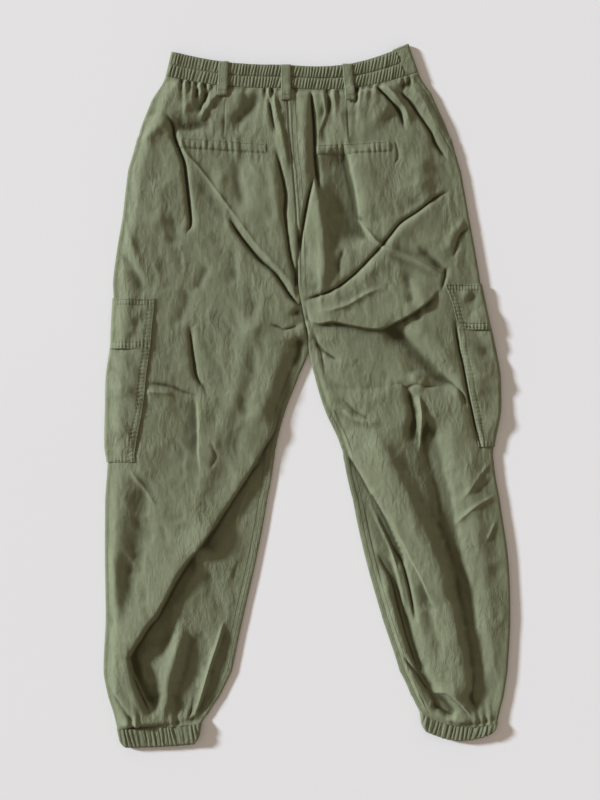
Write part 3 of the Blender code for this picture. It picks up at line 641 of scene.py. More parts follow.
def rolled(sections, flat_z, seam_z, width, at_outer, steps, extra=0.0):
    """Rows of places round a side, from the flat cloth to the seam."""
    sweep = np.ones_like(column(sections, "roll")) if at_outer else np.maximum(column(sections, "roll"), 0.02)
    turn = sweep * math.pi / 2.0
    angle = turn * (np.arange(1, steps + 1) / steps)[None, :]
    reach = width / np.sin(turn)
    out = width - (reach + extra) * np.sin(angle)
    z = flat_z - (flat_z - seam_z) * (1.0 - np.cos(angle))
    s = out if at_outer else column(sections, "length") - out
    x, y = plan_of(sections, s)
    return places(x, y, z)


def sheet_object(name, grid, ring=False, up=True, judged=None):
    """A mesh object from rows and columns of places in mm, its faces turned outwards. judged is how
    many columns, from the first, face up, where the rest go underneath."""
    rows, columns = grid.shape[:2]
    index = np.arange(rows * columns).reshape(rows, columns)
    if ring:
        beside = np.roll(index, -1, axis=1)
        corners = (index[:-1], beside[:-1], beside[1:], index[1:])
    else:
        corners = (index[:-1, :-1], index[:-1, 1:], index[1:, 1:], index[1:, :-1])
    faces = np.stack(corners, axis=-1).reshape(-1, 4)
    points = grid.reshape(-1, 3) * MM
    spans = points[faces]
    normals = np.cross(spans[:, 1] - spans[:, 0], spans[:, 2] - spans[:, 0])
    middle = normals[spans[:, 0, 2] >= np.median(spans[:, 0, 2])] if ring else normals
    if judged is not None:
        middle = normals.reshape(rows - 1, columns - 1, 3)[:, :judged].reshape(-1, 3)
    if (middle[:, 2].sum() > 0.0) != up:
        faces = faces[:, ::-1]
    mesh = bpy.data.meshes.new(name)
    mesh.from_pydata(points.tolist(), [], faces.tolist())
    mesh.validate()
    mesh.shade_smooth()
    made = bpy.data.objects.new(name, mesh)
    bpy.context.scene.collection.objects.link(made)
    return made


def only(made):
    """Selects one object alone and makes it active."""
    bpy.ops.object.select_all(action="DESELECT")
    made.select_set(True)
    bpy.context.view_layer.objects.active = made


def thickened(made, wall):
    """Gives a sheet its wall, inwards from the side that shows. wall is in metres."""
    only(made)
    solid = made.modifiers.new("Cloth", "SOLIDIFY")
    solid.thickness = wall
    solid.offset = -1.0
    solid.use_rim = True
    bpy.ops.object.modifier_apply(modifier=solid.name)
    return made


def level_round(z, spread):
    """The mean height over spread rows and columns on every side of each place."""
    padded = np.pad(z, spread, mode="edge")
    total = np.cumsum(np.cumsum(padded, axis=0), axis=1)
    total = np.pad(total, ((1, 0), (1, 0)))
    size = 2 * spread + 1
    return (total[size:, size:] - total[:-size, size:] - total[size:, :-size] + total[:-size, :-size]) / size**2


def marked(made, grid, spread, broad=12):
    """Stores on the mesh how far each place stands above the cloth round it, for wear where it stands proud and for
    painted shade in its recesses.
    """
    z = grid[:, :, 2]
    # The broader term finds wide hollows, which take the painted shade
    proud = (z - level_round(z, spread)) / 2.4 + (z - level_round(z, broad)) / 12.0
    proud = np.clip(proud, -1.0, 1.0).ravel()
    layer = made.data.attributes.new("proud", "FLOAT", "POINT")
    layer.data.foreach_set("value", proud.astype(np.float32))
    return made


def taken_on(made, cad_node, material):
    """Puts a finished piece on the body in place of its CAD node."""
    made.data.materials.clear()
    made.data.materials.append(material)
    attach(made, "root")
    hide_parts(cad_node)
    return made


def laid(name, grid, cad_node, cloth="Washed cotton twill", single=False, spread=3, **shape):
    """A piece of cloth from its grid, thickened, dyed and put on the body."""
    made = sheet_object(name, grid, **shape)
    marked(made, grid, spread)
    thickened(made, sizes().cloth if single else sizes().doubled)
    return taken_on(made, cad_node, cotton(cloth))


def surface_of(names):
    """The top of the named objects, as a function of a place on the plan in mm."""
    trees = []
    for name in names:
        work = bmesh.new()
        work.from_mesh(bpy.data.objects[name].data)
        trees.append(BVHTree.FromBMesh(work))
        work.free()

    def height(x, y):
        start, down = Vector((x * MM, y * MM, 0.2)), Vector((0.0, 0.0, -1.0))
        hits = [tree.ray_cast(start, down)[0] for tree in trees]
        return max([hit.z / MM for hit in hits if hit is not None], default=0.0)

    return height


# ---------------------------------------------------------------- materials


def node(tree, kind, inputs, **settings):
    """Adds a node with its settings, and gives each input, by its name or number, a value or a link."""
    made = tree.nodes.new(kind)
    for name, value in settings.items():
        setattr(made, name, value)
    for name, value in inputs.items():
        if isinstance(value, bpy.types.NodeSocket):
            tree.links.new(value, made.inputs[name])
        else:
            made.inputs[name].default_value = value
    return made


def shaded(colour, share=1.0):
    """A colour made darker or lighter, with its alpha."""
    return (*(value * share for value in colour), 1.0)


def new_material(name):
    """A material, its empty node tree, and the places on the object that its patterns follow."""
    material = bpy.data.materials.new(name)
    material.use_nodes = True
    tree = material.node_tree
    tree.nodes.clear()
    return material, tree, node(tree, "ShaderNodeTexCoord", {}).outputs["Object"]


COTTON_PAINTED_SHADE = {"Washed cotton twill": 1.0, "Gathered cotton twill": 0.9}  # the share of the light each keeps: the gathered band and cuffs are darkened as painted shade


def cotton(name):
    """Garment-dyed cotton twill, washed: matt, a little fuzzy, mottled, paler where it stands proud, and darkened by
    painted shade in its recesses.
    """
    if name in bpy.data.materials:
        return bpy.data.materials[name]
    material, tree, place = new_material(name)
    paint = colours()
    # The gathered copy is darkened all over, a painted shade
    base, faded, painted_shade = (shaded(colour, COTTON_PAINTED_SHADE[name]) for colour in (paint.cloth, paint.faded, paint.painted_shade))
    turned = {}
    for what, degrees, scale in (("leg", 7.0, (1.0, 0.46, 1.0)), ("twill", 28.0, (1.0, 1.0, 1.0))):
        mapping = {"Vector": place, "Rotation": (0.0, 0.0, math.radians(degrees)), "Scale": scale}
        turned[what] = node(tree, "ShaderNodeMapping", mapping).outputs["Vector"]
    # Dye takes unevenly over some 40 mm, and again over 6 mm. Crumples are about 10 mm across and slubs
    # about 5 mm, both twice as long down the leg, and patches of 60 mm or so are more crumpled than others.
    pattern = {}
    for what, vector, to_the_metre, detail, roughness, distortion in (
        ("broad", place, 26.0, 3.0, 0.6, 0.0),
        ("close", place, 170.0, 4.0, 0.65, 0.0),
        ("crumples", turned["leg"], 105.0, 4.0, 0.62, 0.35),
        ("slubs", turned["leg"], 210.0, 5.0, 0.7, 0.0),
        ("patches", place, 17.0, 2.0, 0.5, 0.0),
    ):
        noise = {"Vector": vector, "Scale": to_the_metre, "Detail": detail, "Roughness": roughness}
        noise["Distortion"] = distortion
        pattern[what] = node(tree, "ShaderNodeTexNoise", noise).outputs["Fac"]
    # The twill's ribs are 0.5 mm apart in the real cloth. They are drawn about 2 mm apart, to show.
    wave = {"Vector": turned["twill"], "Scale": 143.0, "Distortion": 1.2, "Detail": 2.0, "Detail Scale": 3.0}
    pattern["ribs"] = node(tree, "ShaderNodeTexWave", wave).outputs["Fac"]
    pattern["proud"] = node(tree, "ShaderNodeAttribute", {}, attribute_name="proud").outputs["Fac"]
    # What each pattern is taken from, and what it is taken to
    level = {}
    for what, source, start, stop, least, most in (
        ("broad", "broad", 0.3, 0.7, 0.0, 1.0),
        ("close", "close", 0.34, 0.66, 0.0, 1.0),
        # low is the mask of the painted shade in the recesses
        ("low", "proud", -0.05, -0.9, 0.0, 0.9),
        ("high", "proud", 0.15, 1.0, 0.0, 0.5),
        ("crumpled", "patches", 0.38, 0.66, 0.14, 0.75),
    ):
        limits = {"Value": pattern[source], "From Min": start, "From Max": stop, "To Min": least, "To Max": most}
        level[what] = node(tree, "ShaderNodeMapRange", limits).outputs["Result"]
    close = node(tree, "ShaderNodeMath", {0: level["close"], 1: 0.3}, operation="MULTIPLY").outputs[0]
    mottled = {0: level["broad"], 1: 0.35, 2: close}
    mottled = node(tree, "ShaderNodeMath", mottled, operation="MULTIPLY_ADD").outputs[0]
    # Painted shade darkens the recesses, and the cloth is rubbed pale where it stands proud.
    ground = base
    for share, colour in ((mottled, faded), (level["low"], painted_shade), (level["high"], faded)):
        ground = node(tree, "ShaderNodeMix", {0: share, 6: ground, 7: colour}, data_type="RGBA").outputs[2]
    relief = {}
    heights = (("crumples", level["crumpled"], 0.0036), ("slubs", 0.5, 0.0016), ("ribs", 0.25, 0.0004))
    for what, strength, distance in heights:
        relief = {"Height": pattern[what], "Strength": strength, "Distance": distance, **relief}
        relief = {"Normal": node(tree, "ShaderNodeBump", relief).outputs["Normal"]}
    shader = node(tree, "ShaderNodeBsdfPrincipled", {"Base Color": ground, "Roughness": 0.88, **relief})
    shader.inputs["Specular IOR Level"].default_value = 0.25
    shader.inputs["Sheen Weight"].default_value = 0.08
    shader.inputs["Sheen Roughness"].default_value = 0.5
    shader.inputs["Sheen Tint"].default_value = (0.80, 0.82, 0.68, 1.0)
    node(tree, "ShaderNodeOutputMaterial", {"Surface": shader.outputs["BSDF"]})
    return material


def plain_material(name, to_the_metre, detail, colours_between, between, relief, roughness):
    """A material with a fine relief, mottled between two colours by a pattern of its own."""
    material, tree, place = new_material(name)
    fine = {"Vector": place, "Scale": to_the_metre, "Detail": detail}
    fine = node(tree, "ShaderNodeTexNoise", fine).outputs["Fac"]
    share = fine
    if between:
        broad = {"Vector": place, "Scale": between, "Detail": 1.0}
        share = node(tree, "ShaderNodeTexNoise", broad).outputs["Fac"]
    mix = {0: share, 6: colours_between[0], 7: colours_between[1]}
    colour = node(tree, "ShaderNodeMix", mix, data_type="RGBA").outputs[2]
    bump = {"Height": fine, "Strength": relief[0], "Distance": relief[1]}
    normal = node(tree, "ShaderNodeBump", bump).outputs["Normal"]
    shader = {"Base Color": colour, "Normal": normal, "Roughness": roughness}
    shader = node(tree, "ShaderNodeBsdfPrincipled", shader)
    node(tree, "ShaderNodeOutputMaterial", {"Surface": shader.outputs["BSDF"]})
    return material


def thread_material():
    """Spun polyester thread: a fine twist, slightly glossier than the cotton."""
    name = "Spun polyester thread"
    if name in bpy.data.materials:
        return bpy.data.materials[name]
    # Its twist repeats each millimetre or so.
    thread = colours().thread
    return plain_material(name, 900.0, 2.0, (shaded(thread, 0.8), shaded(thread, 1.2)), None, (0.4, 0.0002), 0.6)


def floor_material():
    """A matt painted board: almost even, with a faint roller texture."""
    # The roller leaves marks of 3 mm or so, and the paint is a little uneven over half a metre.
    floor = colours().floor
    paints = (shaded(floor, 0.975), shaded(floor))
    return plain_material("Matt painted board", 300.0, 3.0, paints, 2.0, (0.08, 0.0004), 0.75)


# ---------------------------------------------------------------- panels


def flat_columns(sections, count):
    """Distances across each section, between its two rounded sides."""
    length = column(sections, "length")
    share = np.linspace(0.0, 1.0, count)[None, :]
    return ROLL + share * (length - 2.0 * ROLL)


def back_grid(side, spacing, count):
    """Rows and columns of places on the outside of an upper panel."""
    sections = sections_between(side, "waist_seam", "cuff_seam", spacing)
    s = flat_columns(sections, count)
    x, y = plan_of(sections, s)
    length = column(sections, "length")
    inside = smooth((s - ROLL) / 16.0) * smooth((length - ROLL - s) / 16.0)
    first_row = np.linspace(0.0, 1.0, len(sections))[:, None]
    inside = inside * smooth(first_row * 60.0) * smooth((1.0 - first_row) * 60.0)
    x, y = drawn_in(x, y, inside)
    z = upper_height(sections, s, x, y)
    x, y = leaned(x, y, inside)
    flat = places(x, y, z)
    outer = rolled(sections, z[:, :1], SEAM_Z, ROLL, True, ROLL_STEPS)[:, ::-1]
    inner = rolled(sections, z[:, -1:], SEAM_Z, ROLL, False, ROLL_STEPS)
    # On the centre seam the two halves meet in a shallow pressed line.
    centre = (1.0 - smooth(column(sections, "roll") * 1.4)) * 0.7
    inner[:, :, 2] -= centre * (np.arange(1, ROLL_STEPS + 1) / ROLL_STEPS)[None, :] ** 3
    return np.concatenate([outer, flat, inner], axis=1)


def front_grid(side, spacing, count):
    """Rows and columns of places on the underside of a lower panel."""
    sections = sections_between(side, "waist_seam", "cuff_seam", spacing)
    s = flat_columns(sections, count)
    x, y = plan_of(sections, s)
    lift = column(sections, "lift")
    z = lift * (1.0 - smooth((s - POCKET_UNDER) / POCKET_RAMP))
    flat = places(x, y, z)
    outer = rolled(sections, z[:, :1], SEAM_Z, ROLL, True, UNDER_STEPS)[:, ::-1]
    inner = rolled(sections, z[:, -1:], SEAM_Z, ROLL, False, UNDER_STEPS)
    inner[:, :, 2] = np.minimum(inner[:, :, 2], SEAM_Z)
    return np.concatenate([outer, flat, inner], axis=1)


class TROUSERS_OT_backs(Operator):
    """Lay out the two back panels with their creases"""

    bl_idname = "trousers.backs"
    bl_label = "Back panels"

    def execute(self, context):
        for side in ("left", "right"):
            made = laid(f"back_{side}_cloth", back_grid(side, 2.3, 104), f"back_{side}", single=True)
        return {"FINISHED"}


class TROUSERS_OT_fronts(Operator):
    """Lay out the two front panels, plain and underneath"""

    bl_idname = "trousers.fronts"
    bl_label = "Front panels"

    def execute(self, context):
        for side in ("left", "right"):
            grid = front_grid(side, 5.0, 48)
            made = laid(f"front_{side}_cloth", grid, f"front_{side}", single=True, spread=2, up=False)
        return {"FINISHED"}


# ---------------------------------------------------------------- waistband and cuffs


def section_towards(row, side, edge, share):
    """A section part of the way from a row of the table (0) to a free edge (1)."""
    values = dict(zip(SECTION_COLUMNS, row))
    for end, corner in zip(ENDS[side], edge):
        for number, axis in enumerate(("_x", "_y")):
            values[end + axis] += (corner[number] - values[end + axis]) * share
    key = "bow_" + side[0]
    values[key] += (edge[2] - values[key]) * share
    return Section(values, side)


def band_section(share, side):
    """A section of the waistband, from the waist seam (0) to its free edge (1)."""
    return section_towards(SECTIONS[0], side, BAND_EDGE[side], share)


def outer_side(section, steps, far_z):
    """Places round the outer side of a section, from the seam to the height far_z."""
    side = []
    for step in range(steps, 0, -1):
        angle = math.pi / 2.0 * step / steps
        x, y = section.plan(ROLL - ROLL * math.sin(angle))
        side.append((x, y, far_z - (far_z - SEAM_Z) * (1.0 - math.cos(angle))))
    return side


def ripples(run, level, pitch, seed):
    """Gathered cloth between two rows of stitching: rounded tops and narrow valleys, 0 to 1."""
    wander = run + 1.1 * unevenness(run, level * 8.0, 9.0, seed) + 1.6 * unevenness(run, level * 5.0, 31.0, seed + 2)
    wander = wander + 1.1 * (level - 0.5) * uneven_along(run, 14.0, seed + 4)
    wave = np.abs(np.sin(np.pi * wander / pitch))
    depth = 0.7 + 0.4 * unevenness(run, level * 3.0, 6.0, seed + 6)
    return wave**0.8 * depth


def back_band_grid():
    """The elastic back band: two channels of gathers between stitched lines."""
    rows = []
    levels = np.linspace(0.0, 1.0, 43)
    for level in levels:
        left, right = band_section(level, "left"), band_section(level, "right")
        s_left = np.linspace(ROLL, left.length, 262)[:-1]
        s_right = np.linspace(BAND_WRAP - 1.5, right.length, 252)[::-1]
        x = np.concatenate([left.plan(s_left)[0], right.plan(s_right)[0]])
        y = np.concatenate([left.plan(s_left)[1], right.plan(s_right)[1]])
        run = np.concatenate([s_left, left.length + right.length - s_right])
        channel = 0 if level < 0.5 else 1
        inside = (level * 2.0) % 1.0 if level < 1.0 else 1.0
        arch = math.sin(math.pi * inside) ** 0.45
        seed = 21 + 9 * channel
        z = BAND_TOP - 1.4 + 1.0 * arch + 2.2 * arch * ripples(run, inside, BAND_PITCH, seed)
        z = z + 0.5 * unevenness(x, y, 40.0, 12)
        z = z - 0.9 * smooth((level - 0.94) / 0.06)
        if level in (0.0, 1.0):
            push = 0.55 * ripples(run, 0.5, BAND_PITCH, seed)
            y = y + (push if level else -push)
        rows.append(np.concatenate([outer_side(left, ROLL_STEPS, z[0]), places(x, y, z)]))
    return np.array(rows)


def front_band_grid():
    """The plain front band, from the left side seam underneath to its end on the right back."""
    rows = []
    for level in np.linspace(0.0, 1.0, 24):
        left, right = band_section(level, "left"), band_section(level, "right")
        path = outer_side(left, UNDER_STEPS, 0.0)
        for s in np.linspace(ROLL, left.length, 34)[:-1]:
            path.append((*left.plan(s), 0.0))
        for s in np.linspace(right.length, ROLL, 34):
            path.append((*right.plan(s), 0.0))
        crown = BAND_TOP - 0.2 - 0.9 * (smooth((level - 0.93) / 0.07) + smooth((0.07 - level) / 0.07))
        for step in range(1, 11):
            angle = math.pi * step / 10
            z = crown / 2.0 * (1.0 - math.cos(angle))
            path.append((*right.plan(ROLL - ROLL * math.sin(angle)), z))
        for s in np.linspace(ROLL, BAND_WRAP + 2.5, 16)[1:]:
            x, y = right.plan(s)
            z = crown + 0.35 * unevenness(np.array([x]), np.array([y]), 9.0, 31)[0]
            path.append((x, y, z - 0.8 * smooth((s - BAND_WRAP + 3.0) / 4.0)))
        rows.append(path)
    grid = np.array(rows)
    # Its free edge stands a little past the elastic band's.
    peek = smooth((np.arange(24) - 19.0) / 4.0)[:, None] * smooth((grid[:, :, 0] - 30.0) / 60.0)
    grid[:, :, 1] += 1.6 * peek
    return grid


class TROUSERS_OT_waistband(Operator):
    """Gather the elastic back band and lay the plain front band"""

    bl_idname = "trousers.waistband"
    bl_label = "Waistband"

    def execute(self, context):
        made = laid("waistband_elastic", back_band_grid(), "waistband_back", "Gathered cotton twill", spread=4)
        made = laid("waistband_plain", front_band_grid(), "waistband_front", spread=2, up=False)
        return {"FINISHED"}


def cuff_grid(side):
    """An elastic cuff: a ring of uneven gathers, rounded at its free edge."""
    seed = 41 if side == "left" else 57
    rows = []
    levels = np.concatenate([np.linspace(0.0, 0.9, 24), np.linspace(0.93, 1.0, 6)])
    for level in levels:
        section = section_towards(SECTIONS[-1], side, CUFF_EDGE[side], level)
        tuck = smooth((level - 0.9) / 0.1)
        top, base = CUFF_TOP - 1.6 - 2.2 * tuck, 0.9 * tuck
        half = (top - base) / 2.0
        inset = 5.5 * max(0.0, (level - 0.55) / 0.45) ** 2.2
        # Over the top, round one side, back underneath and round the other
        flat = np.linspace(ROLL + inset, section.length - ROLL - inset, 150)
        under = flat[::-5]
        turn = np.linspace(0.0, math.pi, 12)[1:-1]
        far, out, up = section.length - ROLL, ROLL * np.sin(turn), half * np.cos(turn)
        s = np.concatenate([flat, far - inset + out, under, ROLL + inset - out])
        z = np.concatenate([np.full_like(flat, top), base + half + up, np.full_like(under, base), base + half - up])
        round_side = turn * ROLL * 0.6
        run = np.concatenate([flat, far + round_side, far + ROLL + 10.0 + under, ROLL - round_side[::-1]])
        x, y = section.plan(s)
        body = math.sin(math.pi * (level * 0.84 + 0.12)) ** 0.5
        wave = ripples(run + 3.4 * unevenness(run, level * 6.0, 13.0, seed + 8), level, 6.4, seed)
        second = ripples(run, level, 3.6, seed + 5)
        broad = unevenness(run, level * 4.0, 16.0, seed + 11)
        swell = (2.1 * wave + 0.6 * second + 0.9 * broad) * body
        above = (z > base + half * 0.6).astype(float)
        z = z + swell * above * (1.0 - 0.5 * tuck)
        y = y - 0.9 * wave * tuck + 0.8 * wave * (1.0 - smooth(level / 0.1))
        rows.append(places(x, y, np.maximum(z, 0.0)))
    return np.array(rows)


class TROUSERS_OT_cuffs(Operator):
    """Gather the two elastic cuffs"""

    bl_idname = "trousers.cuffs"
    bl_label = "Cuffs"

    def execute(self, context):
        for side in ("left", "right"):
            grid = cuff_grid(side)
            made = laid(f"cuff_{side}_elastic", grid, f"cuff_{side}", "Gathered cotton twill", ring=True)
        return {"FINISHED"}


# ---------------------------------------------------------------- pockets, flaps and welts


def wrap_grid(side, first, last, rise, spacing, curl=False):
    """A pocket or flap that lies on the upper panel and goes round the side under the leg."""
    sections = sections_between(side, first, last, spacing)
    count = len(sections)
    down = np.linspace(0.0, 1.0, count)[:, None]
    pocket = column(sections, "pocket")
    if curl:
        pocket = pocket - 11.0 * smooth((down - 0.72) / 0.28) ** 1.5
    across = np.linspace(1.0, 0.0, 46)[None, :]
    s = ROLL + (pocket - ROLL) * across
    x, y = plan_of(sections, s)
    z = upper_height(sections, s, x, y) + rise(down, pocket - s, x, y)
    top = places(x, y, z)
    side_rows = rolled(sections, z[:, -1:], SEAM_Z, ROLL, True, 6, extra=1.7)
    under_s = np.concatenate([[ROLL * 0.35], np.linspace(ROLL, POCKET_UNDER - 3.0, 18)])[None, :]
    under_x, under_y = plan_of(sections, np.repeat(under_s, count, axis=0))
    under_z = np.zeros_like(under_x)
    under_z[:, 0] = 0.9
    under = places(under_x, under_y, under_z)
    return np.concatenate([top, side_rows, under], axis=1)


def pocket_rise(down, edge, x, y):
    """How far a pocket stands off the panel, by the share down it and the distance from its edge."""
    body = 1.7 + 1.6 * np.sin(np.pi * down) * smooth(edge / 20.0)
    pucker = 0.35 * np.sin(2.0 * np.pi * (y + 2.0 * unevenness(x, y, 12.0, 61)) / 5.2)
    pucker = pucker * np.exp(-((edge - 6.0) / 7.0) ** 2)
    bottom = np.exp(-((1.0 - down) * POCKET_LENGTH / 7.0) ** 2)
    pucker = pucker + 0.35 * bottom * np.sin(2.0 * np.pi * x / 5.0)
    groove = -0.55 * np.exp(-((edge - 2.2) / 0.8) ** 2) - 0.55 * np.exp(-((edge - 9.0) / 0.9) ** 2)
    folds = 3.0 * unevenness(0.5 * x + 0.86 * y, 0.4 * (0.86 * x - 0.5 * y), 15.0, 67) * smooth(edge / 34.0)
    return body + pucker + groove + 0.5 * unevenness(x, y, 13.0, 64) + folds


def flap_rise(down, edge, x, y):
    """How far a flap stands off the panel: sewn down along its top, and over the pocket below."""
    body = 1.4 + smooth(down * 2.2) * (0.6 + 1.4 * smooth(edge / 40.0))
    from_top, from_base = down * FLAP_LENGTH, (1.0 - down) * FLAP_LENGTH
    near_top = np.exp(-((from_top - 5.0) / 5.0) ** 2)
    near_base = np.exp(-((from_base - 5.0) / 6.0) ** 2)
    pucker = 0.4 * near_top * np.sin(2.0 * np.pi * x / 4.3) + 0.5 * near_base * np.sin(2.0 * np.pi * x / 4.9)
    pucker = pucker + 0.35 * np.exp(-((edge - 6.0) / 6.0) ** 2) * np.sin(2.0 * np.pi * y / 5.0)
    lines = 0.0
    for away in FLAP_STITCHES:
        for depth, distance in ((0.5, edge), (0.5, from_base), (0.4, from_top)):
            lines = lines - depth * np.exp(-((distance - away) / 0.9) ** 2)
    folds = 2.0 * unevenness(0.5 * x - 0.86 * y, 0.5 * (0.86 * x + 0.5 * y), 12.0, 73) * smooth((edge - 4.0) / 24.0)
    return body + pucker + lines + 0.5 * unevenness(x, y, 14.0, 71) + folds


class TROUSERS_OT_cargo_pockets(Operator):
    """Lay the cargo pockets and their flaps round the thighs"""

    bl_idname = "trousers.cargo_pockets"
    bl_label = "Cargo pockets"

    def execute(self, context):
        for side, mark in (("left", "l"), ("right", "r")):
            flap_end = FLAP_END[side]
            grid = wrap_grid(side, flap_end, f"pocket_base_{mark}", pocket_rise, 1.5)
            made = laid(f"cargo_pocket_{side}_cloth", grid, f"cargo_pocket_{side}", judged=40)
            grid = wrap_grid(side, f"flap_top_{mark}", flap_end, flap_rise, 1.4, curl=side == "right")
            grid[:, :, 1] -= (np.linspace(0.0, 1.0, len(grid)) ** 2 * 3.0)[:, None]
            made = laid(f"cargo_flap_{side}_cloth", grid, f"cargo_flap_{side}", judged=40)
        return {"FINISHED"}


class TROUSERS_OT_welts(Operator):
    """Lay the two back-pocket welts on the seat"""

    bl_idname = "trousers.welts"
    bl_label = "Back welts"

    def execute(self, context):
        for side, span in WELT_SPAN.items():
            sections = sections_between(side, "welt_top", "welt_bottom", 1.0)
            s = column(sections, "length") * np.linspace(*span, 132)[None, :]
            x, y = plan_of(sections, s)
            down = np.linspace(0.0, 1.0, len(sections))[:, None]
            edge = np.minimum(down, 1.0 - down)
            z = upper_height(sections, s, x, y) + 1.0 - 0.75 * np.exp(-(edge / 0.12) ** 2)
            z = z - 0.45 * np.exp(-(((edge - 0.17) / 0.06) ** 2))
            made = laid(f"back_welt_{side}_cloth", places(x, y, z), f"back_welt_{side}")
        return {"FINISHED"}


class TROUSERS_OT_belt_loops(Operator):
    """Lay the three belt loops over the band"""

    bl_idname = "trousers.belt_loops"
    bl_label = "Belt loops"

    def execute(self, context):
        height = surface_of(("back_left_cloth", "back_right_cloth", "waistband_elastic"))
        for name, top_x, bottom_x, top_y, bottom_y in BELT_LOOPS:
            share = np.linspace(0.0, 1.0, 46)
            centre_x = top_x + (bottom_x - top_x) * share
            centre_y = top_y + (bottom_y - top_y) * share
            level = np.array([
                max(height(x + off, min(y, top_y - 2.0)) for off in (-6.0, -3.0, 0.0, 3.0, 6.0))
                for x, y in zip(centre_x, centre_y)
            ])
            # The strip is held at its two ends and bridges the dips between.
            bridged = np.array([level[max(i - 5, 0) : i + 6].max() for i in range(len(level))])
            bridged = np.convolve(np.pad(bridged, 4, mode="edge"), np.ones(9) / 9.0, mode="valid")
            offset = np.linspace(-LOOP_WIDTH / 2.0, LOOP_WIDTH / 2.0, 15)[None, :]
            x = centre_x[:, None] + offset
            y = centre_y[:, None] + 0.0 * offset
            z = bridged[:, None] + 1.5 - 0.7 * (np.abs(offset) / (LOOP_WIDTH / 2.0)) ** 6
            z = z - 0.3 * np.exp(-((np.abs(offset) - 5.0) / 0.8) ** 2) + 0.25 * unevenness(x, y, 6.0, 91)
            z = z - 1.0 * smooth((share[:, None] - 0.93) / 0.07) - 0.9 * smooth((0.05 - share[:, None]) / 0.05)
            grid = places(x, y, z)
            made = laid(f"belt_loop_{name}_cloth", grid, f"belt_loop_{name}", spread=2)
        return {"FINISHED"}


# ---------------------------------------------------------------- stitching


def edge_line(side, first, last, inset):
    """A line down a pocket or flap, inset from its inner edge."""
    return [section.plan(section.pocket - inset) for section in sections_between(side, first, last, 3.0)]


def inner_line(side, first, last, inset):
    """A line down the garment, inset from its inner side."""
    return [section.plan(section.length - inset) for section in sections_between(side, first, last, 4.0)]


def across_line(side, name, start, stop, shift):
    """A line across a named section, moved down by shift mm."""
    row = dict(zip(SECTION_COLUMNS, next(row for row in SECTIONS if row[0] == name)))
    section = Section(row, side)
    s = np.linspace(start, stop, 24) if stop > 1.0 else np.linspace(start, stop, 40) * section.length
    x, y = section.plan(s)
    return list(zip(x, y - shift))


def band_line(level, side, start):
    """A line along the band, level being its share of the way to the free edge."""
    section = band_section(level, side)
    x, y = section.plan(np.linspace(start, section.length, 50))
    return list(zip(x, y))


def one_stitch(length):
    """The points and faces of one stitch: a short six-sided bar with drawn-in ends."""
    bpy.ops.object.select_all(action="DESELECT")
    bpy.ops.mesh.primitive_cylinder_add(
        vertices=6, radius=THREAD_RADIUS * MM, depth=length, rotation=(0.0, math.pi / 2.0, 0.0)
    )
    made = bpy.context.active_object
    bpy.ops.object.transform_apply(location=False, rotation=True, scale=False)
    bpy.ops.object.mode_set(mode="EDIT")
    bpy.ops.mesh.select_all(action="DESELECT")
    work = bmesh.from_edit_mesh(made.data)
    for face in work.faces:
        face.select_set(abs(face.normal.x) > 0.9)
    bmesh.update_edit_mesh(made.data)
    bpy.ops.mesh.inset(thickness=0.00012, depth=0.0002)
    bpy.ops.object.mode_set(mode="OBJECT")
    points = np.array([tuple(vertex.co) for vertex in made.data.vertices])
    faces = [list(face.vertices) for face in made.data.polygons]
    bpy.data.objects.remove(made, do_unlink=True)
    return points, faces


def sewn(name, lines, height):
    """Rows of stitches along lines on the plan, each lying on the cloth below it."""
    shape, shape_faces = one_stitch(sizes().stitch)
    points, faces = [], []
    pitch = sizes().stitch / MM + STITCH_GAP
    for line in lines:
        line = np.array(line, dtype=float)
        steps = np.hypot(*np.diff(line, axis=0).T)
        run = np.concatenate([[0.0], np.cumsum(steps)])
        places = np.arange(pitch / 2.0, run[-1] - pitch / 2.0, pitch)
        for place in places:
            ends = []
            for offset in (-0.5, 0.5):
                at = place + offset * (pitch - STITCH_GAP)
                x, y = np.interp(at, run, line[:, 0]), np.interp(at, run, line[:, 1])
                ends.append(Vector((x, y, height(x, y) + 0.12)) * MM)
            way = (ends[1] - ends[0]).normalized()
            side = Vector((-way.y, way.x, 0.0)).normalized()
            over = way.cross(side) * -1.0
            over = side.cross(way) * -1.0 if over.z < 0 else over
            middle = (ends[0] + ends[1]) / 2.0
            turned = shape @ np.array([way, side, over]) + np.array(middle)
            start = len(points) * len(shape)
            points.append(turned)
            faces.extend([[start + corner for corner in face] for face in shape_faces])
    mesh = bpy.data.meshes.new(name)
    mesh.from_pydata(np.concatenate(points).tolist(), [], faces)
    mesh.validate()
    work = bmesh.new()
    work.from_mesh(mesh)
    bmesh.ops.recalc_face_normals(work, faces=work.faces)
    work.to_mesh(mesh)
    work.free()
    mesh.shade_smooth()
    mesh.materials.append(thread_material())
    made = bpy.data.objects.new(name, mesh)
    bpy.context.scene.collection.objects.link(made)
    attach(made, "root")
    return made


